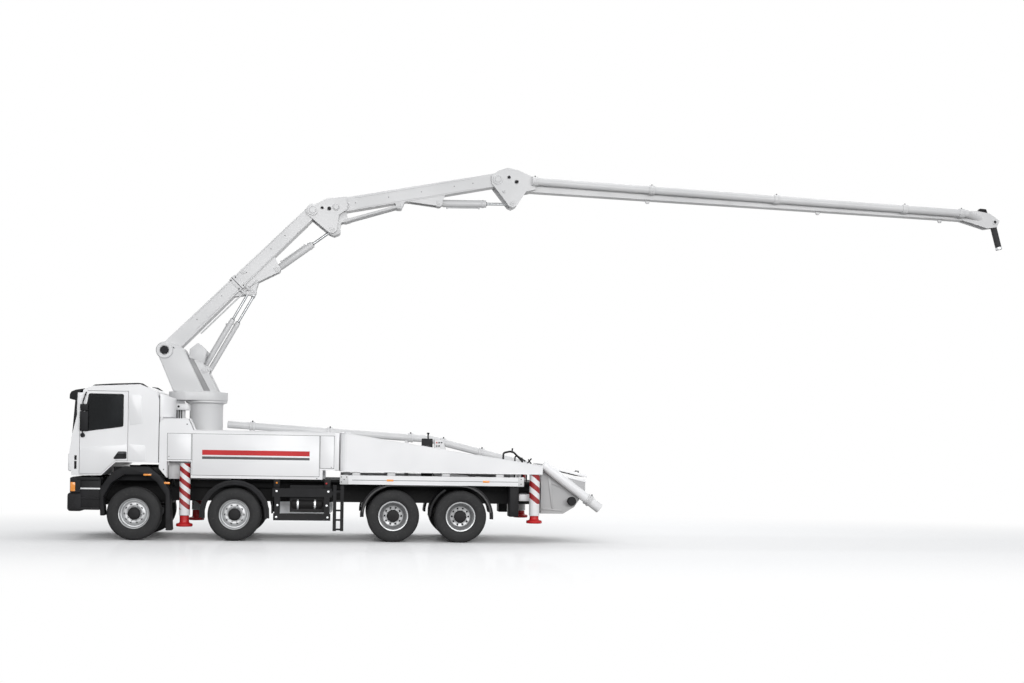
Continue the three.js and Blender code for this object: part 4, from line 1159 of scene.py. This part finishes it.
def third_arm_pieces():
    def at(x):
        return place(x, -0.225, third_top(x) - 0.095)

    line = [coat(bar(at(7.955), at(17.60), 0.0800, 0.004, 40), "boom_paint"),
            coat(bar(at(17.58), place(17.955, -0.06, 7.18), 0.073, 0.004, 32), "boom_paint")]
    for x in (7.98, 10.50, 13.25, 16.15, 17.45):
        line += coupling(at(x), at(18) - at(8), 0.078)
    fit(joined(*line), "third_arm_pipe", "third_arm", "boom_paint")
    edges = [coat(side_plate([(8.0, third_top(8.0) + 0.003), (17.5, third_top(17.5) + 0.003),
                              (17.5, third_top(17.5) - 0.012), (8.0, third_top(8.0) - 0.012)],
                             y, y + 0.02, 0.003), "boom_paint") for y in (-0.128, 0.108)]
    lugs = [coat(side_plate([(x, 7.36 - (x - 8.05) * 0.02526), (x + 0.12, 7.36 - (x - 7.93) * 0.02526),
                             (x + 0.09, 7.29 - (x - 8.05) * 0.02526),
                             (x + 0.03, 7.29 - (x - 8.05) * 0.02526)],
                            -0.02, 0.02, 0.005), "boom_paint") for x in (10.4, 14.2, 17.0)]
    head = coat(side_plate([(17.92, 7.33), (18.16, 7.30), (18.12, 7.40), (17.98, 7.41)], -0.05, 0.05,
                           0.010),
                "dark_trim")
    fit(joined(*edges, *lugs, head), "third_arm_edges", "third_arm", "boom_paint")


def on_line(begin, end, along, up=0.0):
    dx, dz = end[0] - begin[0], end[1] - begin[1]
    length = math.hypot(dx, dz)
    return (begin[0] + (dx * along - dz * up) / length, begin[1] + (dz * along + dx * up) / length)


PIVOT_A, PIVOT_B, PIVOT_C = (0.420, 3.810), (3.348, 6.783), (7.196, 7.578)


def lower_arm_pieces():
    """Pipes with their couplings on the far side, edge flanges, bolt rows and small hydraulic lines."""
    for body, begin, end, up, first, last, clamps, half, rows in (
            ("first_arm", PIVOT_A, PIVOT_B, 0.0, 1.30, 3.97, (1.5, 2.8, 3.7), 0.190, (0.138, -0.150)),
            ("second_arm", PIVOT_B, PIVOT_C, 0.020, 0.20, 3.73, (0.5, 2.0, 3.5), 0.160, (0.152, -0.118))):
        spot = lambda along, y, lift: place(on_line(begin, end, along, lift)[0], y,
                                            on_line(begin, end, along, lift)[1])
        axis = spot(2, 0, 0) - spot(1, 0, 0)
        line = [coat(bar(spot(first - 0.003, 0.328, up), spot(last + 0.003, 0.328, up), 0.0665, 0.004, 36),
                     "boom_paint")]
        for along in clamps:
            line += coupling(spot(along, 0.328, up), axis, 0.065)
        fit(joined(*line), f"{body}_pipe", body, "boom_paint")
        details = []
        for side in (-1, 1):
            for i, lift in enumerate(rows):
                reach = (0.75, 3.9) if body == "first_arm" else (0.9, 3.4)
                details.append(coat(bar(spot(reach[0], side * (half + 0.001), lift * 0.80),
                                        spot(reach[1], side * (half + 0.001), lift * 0.80), 0.007, 0.002,
                                        12),
                                    "boom_paint"))
            for along in (0.9, 1.6, 2.3, 3.0, 3.4):
                foot = spot(along, side * half, 0.02)
                details.append(coat(turned([(0, 0), (0.013, 0), (0.013, 0.005), (0.008, 0.008),
                                            (0, 0.008)], foot,
                                           (0, side, 0), 16), "shade_grey"))
        fit(joined(*details), f"{body}_side_lines", body, "boom_paint")


def hose_pieces():
    tip, end = place(18.289, 0, 7.107), place(18.460, 0, 6.500)
    axis = (end - tip).normalized()
    knuckle = turned([(0, -0.078), (0.040, -0.070), (0.070, -0.038), (0.082, 0), (0.078, 0.035),
                      (0.066, 0.075),
                      (0, 0.075)], tip, axis, 40)
    cross = bar(tip - Vector((0, 0.084, 0)), tip + Vector((0, 0.084, 0)), 0.062, 0.006, 36)
    ribs = [(0.0, 0.07), (0.071, 0.07), (0.072, 0.11)]
    for i in range(18):
        ribs += [(0.0695, 0.125 + i * 0.024), (0.0655, 0.133 + i * 0.024), (0.0655, 0.141 + i * 0.024)]
    ribs += [(0.068, 0.560), (0.068, 0.612), (0.060, 0.618), (0.056, 0.612), (0.054, 0.50), (0, 0.50)]
    hose = turned(ribs, tip, axis, 40)
    band = turned([(0.064, 0.556), (0.0715, 0.556), (0.0718, 0.562), (0.0718, 0.600), (0.0715, 0.606),
                   (0.064, 0.606)], tip, axis, 40, True)
    fit(joined(coat(hose, "hose_rubber"), coat(knuckle, "boom_paint"), coat(cross, "boom_paint"),
               coat(band, "tank_metal")), "tip_hose", "end_hose", "hose_rubber", "end_hose")


def tie_rod_pieces():
    """The tie rod under the second arm, its lugs, and the inner link plates at its knee."""
    begin, end = (4.045, 6.612), (5.120, 6.952)
    spot = lambda share, y=-0.13: place(begin[0] + (end[0] - begin[0]) * share, y,
                                        begin[1] + (end[1] - begin[1]) * share)
    pieces = [bar(spot(0.06), spot(1.0), 0.030, 0.004, 24), bar(spot(-0.03), spot(0.08), 0.038, 0.008, 24),
              bar(spot(0.95), spot(1.05), 0.040, 0.008, 24),
              side_plate([(5.04, 7.02), (5.26, 7.06), (5.19, 6.90), (5.10, 6.895)], -0.158, -0.098, 0.008),
              side_plate(rounded([(3.70, 6.62), (3.86, 6.74), (4.06, 6.80), (4.07, 6.575), (3.93, 6.575),
                                  (3.925, 6.34), (3.80, 6.285), (3.68, 6.33)], 0.05), -0.160, -0.092,
                         0.006)]
    pieces += [moved(piece, ACROSS) for piece in pieces]
    fit(joined(*[coat(piece, "boom_paint") for piece in pieces]), "second_arm_tie_rods", "second_arm",
        "boom_paint")


# ---- pump, deck and hopper ----
def deck_pieces():
    route = [place(1.64, 0.4, 2.33), place(5.9, 0.4, 2.09), place(8.08, 0.4, 1.56)]
    line = []
    for begin, end in zip(route, route[1:]):
        line.append(coat(bar(begin, end, 0.0765, 0.004, 40), "boom_paint"))
        for share in (0.12, 0.5, 0.9):
            line += coupling(begin.lerp(end, share), end - begin, 0.075)
    fit(joined(*line), "deck_line", "truck", "boom_paint")
    for name, y in (("left", -0.19), ("right", 0.19)):
        begin, end = place(4.15, y, 1.64), place(7.65, y, 1.40)
        tube = coat(bar(begin, end, 0.1265, 0.006, 48), "boom_paint")
        bands = [part for share in (0.25, 0.75) for part in coupling(begin.lerp(end, share), end - begin,
                                                                     0.125)]
        fit(joined(tube, *bands), f"pump_cylinder_{name}", "truck", "boom_paint")
    case = coat(block((5.67, -0.62, 1.24), (5.89, -0.40, 2.10), 0.012, 3), "dark_trim")
    lamp = coat(turned([(0, 0), (0.016, 0), (0.016, 0.10), (0.028, 0.105), (0.028, 0.13), (0, 0.135)],
                       place(5.80, -0.51, 2.09), (0, 0, 1), 24), "dark_trim")
    panel = coat(side_plate([(5.92, 1.24), (6.16, 1.24), (6.16, 1.90), (6.10, 2.07), (5.92, 2.09)], -0.66,
                            -0.45,
                            0.015, 3), "boom_paint")
    knobs = [coat(bar(place(x, -0.661, z), place(x, -0.685, z), 0.014, 0.003, 20), finish)
             for x, z, finish in ((5.97, 2.02, "red_paint"), (6.02, 2.02, "dark_trim"),
                                  (6.07, 2.02, "dark_trim"),
                                  (5.97, 1.95, "dark_trim"), (6.02, 1.95, "dark_trim"))]
    fit(joined(case, lamp, panel, *knobs), "deck_controls", "truck", "dark_trim")
    rails = [bent_bar([(7.36, -0.62, 1.23), (7.36, -0.62, 1.83), (7.50, -0.62, 1.86), (7.58, -0.62, 1.84),
                       (7.76, -0.62, 1.66), (7.76, -0.62, 1.23)], 0.020, 0.05),
             bent_bar([(7.54, -0.62, 1.84), (7.55, -0.62, 1.93)], 0.016),
             bent_bar([(7.62, -0.50, 1.23), (7.62, -0.50, 1.80), (7.84, -0.50, 1.66)], 0.016, 0.04),
             bent_bar([(7.86, -0.56, 1.23), (7.86, -0.56, 1.60), (7.96, -0.56, 1.72)], 0.014, 0.04),
             bent_bar([(7.98, -0.50, 1.23), (7.98, -0.50, 1.58), (7.90, -0.50, 1.70)], 0.014, 0.04)]
    fit(joined(*[coat(rail, "dark_trim") for rail in rails]), "deck_hand_bars", "truck", "dark_trim")
    filler = coat(turned([(0, 0), (0.075, 0), (0.08, 0.015), (0.07, 0.05), (0, 0.055)],
                         place(3.2, 0.1, 2.058),
                         (0, 0, 1), 32), "dark_trim")
    ribs = [coat(block((x, -0.57, 1.30), (x + 0.03, -0.556, 2.04), 0.005), "white_paint")
            for x in (2.2, 2.6, 3.0, 3.4)]
    fit(joined(filler, *ribs), "hydraulic_tank_fittings", "truck", "dark_trim")


def hopper_pieces():
    def slope(x):
        return 1.50 - (x - 8.15) * 0.2366

    rim = [coat(side_plate([(8.14, slope(8.14) + 0.012), (9.09, slope(9.09) + 0.012),
                            (9.09, slope(9.09) - 0.04),
                            (8.14, slope(8.14) - 0.04)], y, y + 0.05, 0.005), "white_paint")
           for y in (-0.715, 0.665)]
    cross = [coat(block((x, -0.70, slope(x) - 0.04), (x + 0.05, 0.70, slope(x) + 0.008), 0.005),
                  "white_paint")
             for x in (8.14, 9.035)]
    grate = [coat(block((8.19, y, slope(8.6) - 0.14), (9.035, y + 0.014, slope(8.6) - 0.11), 0.003),
                  "chassis_paint") for y in [-0.60 + 0.1 * i for i in range(13)]]
    ribs = [side_plate([(8.28, 1.40), (8.34, 1.40), (8.42, 0.70), (8.38, 0.68)], -0.722, -0.698, 0.005),
            side_plate([(8.34, 1.26), (8.72, 1.10), (8.72, 1.06), (8.34, 1.21)], -0.718, -0.698, 0.004),
            side_plate([(8.17, 0.70), (8.60, 0.66), (8.60, 0.63), (8.17, 0.66)], -0.716, -0.698, 0.004)]
    ribs = [coat(rib, "hopper_painted_shade") for rib in ribs]
    ribs += [moved(rib, ACROSS) for rib in ribs]
    cap = turned([(0, 0), (0.088, 0), (0.092, 0.012), (0.092, 0.07), (0.075, 0.088), (0, 0.09)],
                 place(8.78, -0.775, 0.85), (0, -1, 0), 40)
    caps = [coat(cap, "dark_trim"), coat(moved(cap, ACROSS), "dark_trim")]
    fit(joined(*rim, *cross, *grate, *ribs, *caps), "hopper_fittings", "truck", "boom_paint")
    begin, end = place(8.17, -0.815, 1.60), place(9.37, -0.815, 0.70)
    axis = end - begin
    length = axis.length
    pipe = turned([(0, 0), (0.094, 0), (0.1, 0.006), (0.1, length - 0.01), (0.097, length), (0.090, length),
                   (0.088, length - 0.25), (0, length - 0.25)], begin, axis, 48)
    clamp = coupling(begin + axis.normalized() * (length * 0.80), axis, 0.099)
    stay = block((8.56, -0.815, 1.30), (8.64, -0.703, 1.38), 0.008)
    fit(joined(coat(pipe, "white_paint"), coat(stay, "white_paint"), *clamp), "chute_pipe", "truck",
        "white_paint", "rear_chute_pipe")
    edge = [coat(side_plate([(8.177, 1.600), (9.112, 1.388), (9.108, 1.340), (8.190, 1.548)], y, y + 0.02,
                            0.004),
                 "white_paint") for y in (-0.708, 0.688)]
    handle = bent_bar([(9.02, -0.2, 1.405), (9.02, -0.2, 1.46), (9.02, 0.2, 1.46), (9.02, 0.2, 1.405)],
                      0.012,
                      0.03)
    lining = coat(side_plate([(8.20, 1.562), (9.095, 1.360), (9.090, 1.345), (8.20, 1.545)], -0.66, 0.66,
                             0.003),
                  "hose_rubber")
    fit(joined(*edge, coat(handle, "dark_trim"), lining), "hopper_lid_fittings", "hopper_lid",
        "white_paint")


windscreen()
cab_door_pieces()
cab_shell_pieces()
bumper_pieces()
cab_seats()
locker_pieces()
rail_pieces()
mudguard_cheeks()
rack_pieces()
leg_pieces()
pedestal_pieces()
turret_pieces()
boom_pins()
cylinder_pieces()
third_arm_pieces()
lower_arm_pieces()
arm_collar()
tie_rod_pieces()
hose_pieces()
deck_pieces()
hopper_pieces()


# ---- studio ----
def background_rays(paths):
    """1 on rays that should meet a white background: seen, mirrored or through glass."""
    seen = paths.node("ShaderNodeLightPath", output="Is Camera Ray")
    mirrored = paths.node("ShaderNodeLightPath", output="Is Glossy Ray")
    through = paths.node("ShaderNodeLightPath", output="Is Transmission Ray")
    return seen.maths("MAXIMUM", seen.maths("MAXIMUM", seen, mirrored), through)


def studio_floor():
    start()
    bpy.ops.mesh.primitive_plane_add(size=400, location=(0, 0, 0))
    floor = bpy.context.object
    floor.name = "floor"
    paper = bpy.data.materials.new("studio floor")
    paper.use_nodes = True
    mix = Nodes(paper.node_tree)
    spot = mix.node("ShaderNodeTexCoord", output="Object")
    seen = background_rays(mix)
    half = mix.node("ShaderNodeVectorMath", {"operation": "MULTIPLY"}, {0: spot, 1: (0.5, 1, 1)}, "Vector")
    far = mix.node("ShaderNodeVectorMath", {"operation": "LENGTH"}, {0: half}, "Value").rise(4.5, 11)
    matt = mix.node("ShaderNodeBsdfDiffuse",
                    inputs={"Color": mix.mix(seen, (0.16, 0.16, 0.16), (0.86, 0.86, 0.86))})
    gloss = mix.node("ShaderNodeBsdfGlossy", inputs={"Color": (0.95, 0.95, 0.95), "Roughness": 0.04})
    sheen = mix.node("ShaderNodeMixShader", inputs={0: 0.05, 1: matt, 2: gloss})
    glow = mix.node("ShaderNodeEmission", inputs={"Color": (1.0, 1.0, 1.0)})
    surface = mix.node("ShaderNodeMixShader", inputs={0: seen * far, 1: sheen, 2: glow})
    mix.feed(mix.tree.nodes.new("ShaderNodeOutputMaterial").inputs["Surface"], surface)
    floor.data.materials.append(paper)


def studio_world():
    world = bpy.data.worlds.new("studio")
    bpy.context.scene.world = world
    world.use_nodes = True
    mix = Nodes(world.node_tree)
    room = mix.node("ShaderNodeBackground", inputs={"Color": (0.95, 0.97, 1.0), "Strength": ROOM_LIGHT})
    white = mix.node("ShaderNodeBackground", inputs={"Color": (1.0, 1.0, 1.0), "Strength": 1.0})
    surface = mix.node("ShaderNodeMixShader", inputs={0: background_rays(mix), 1: room, 2: white})
    mix.feed(mix.tree.nodes.new("ShaderNodeOutputWorld").inputs["Surface"], surface)


def soft_lamp(name, spot, aim, size, power):
    data = bpy.data.lights.new(name, "AREA")
    data.shape = "RECTANGLE"
    data.size, data.size_y = size
    data.energy = power
    lamp = bpy.data.objects.new(name, data)
    lamp.location = spot
    lamp.rotation_euler = (Vector(aim) - Vector(spot)).to_track_quat("-Z", "Y").to_euler()
    bpy.context.scene.collection.objects.link(lamp)


ROOM_LIGHT = 0.46
LAMPS = (("front", (3, -26, 8), (3, 0, 2.6), (36, 8), 6000),
         ("key", (-14, -15, 14), (-4, 0, 2), (10, 8), 250),
         ("top", (0, 1, 22), (0, 0, 0), (28, 8), 1500),
         ("back", (0, 15, 13), (0, 0, 1), (30, 6), 1700))


def camera():
    """A long side view from a little above the deck, level, with the view raised to keep uprights upright."""
    data = bpy.data.cameras.new("camera")
    data.sensor_width = 36
    data.lens = 46.65
    data.shift_x = 0.0017
    data.shift_y = 0.1005
    data.clip_end = 500
    view = bpy.data.objects.new("camera", data)
    view.matrix_world = (Matrix.Translation(place(4.154, -27.991, 2.007))
                         @ Matrix.Rotation(-0.1217, 4, "Z") @ Matrix.Rotation(math.pi / 2, 4, "X")
                         @ Matrix.Rotation(0.0167, 4, "Z"))
    bpy.context.scene.collection.objects.link(view)
    bpy.context.scene.camera = view


studio_floor()
studio_world()
for lamp in LAMPS:
    soft_lamp(*lamp)
camera()
bpy.context.scene.view_settings.view_transform = "Standard"
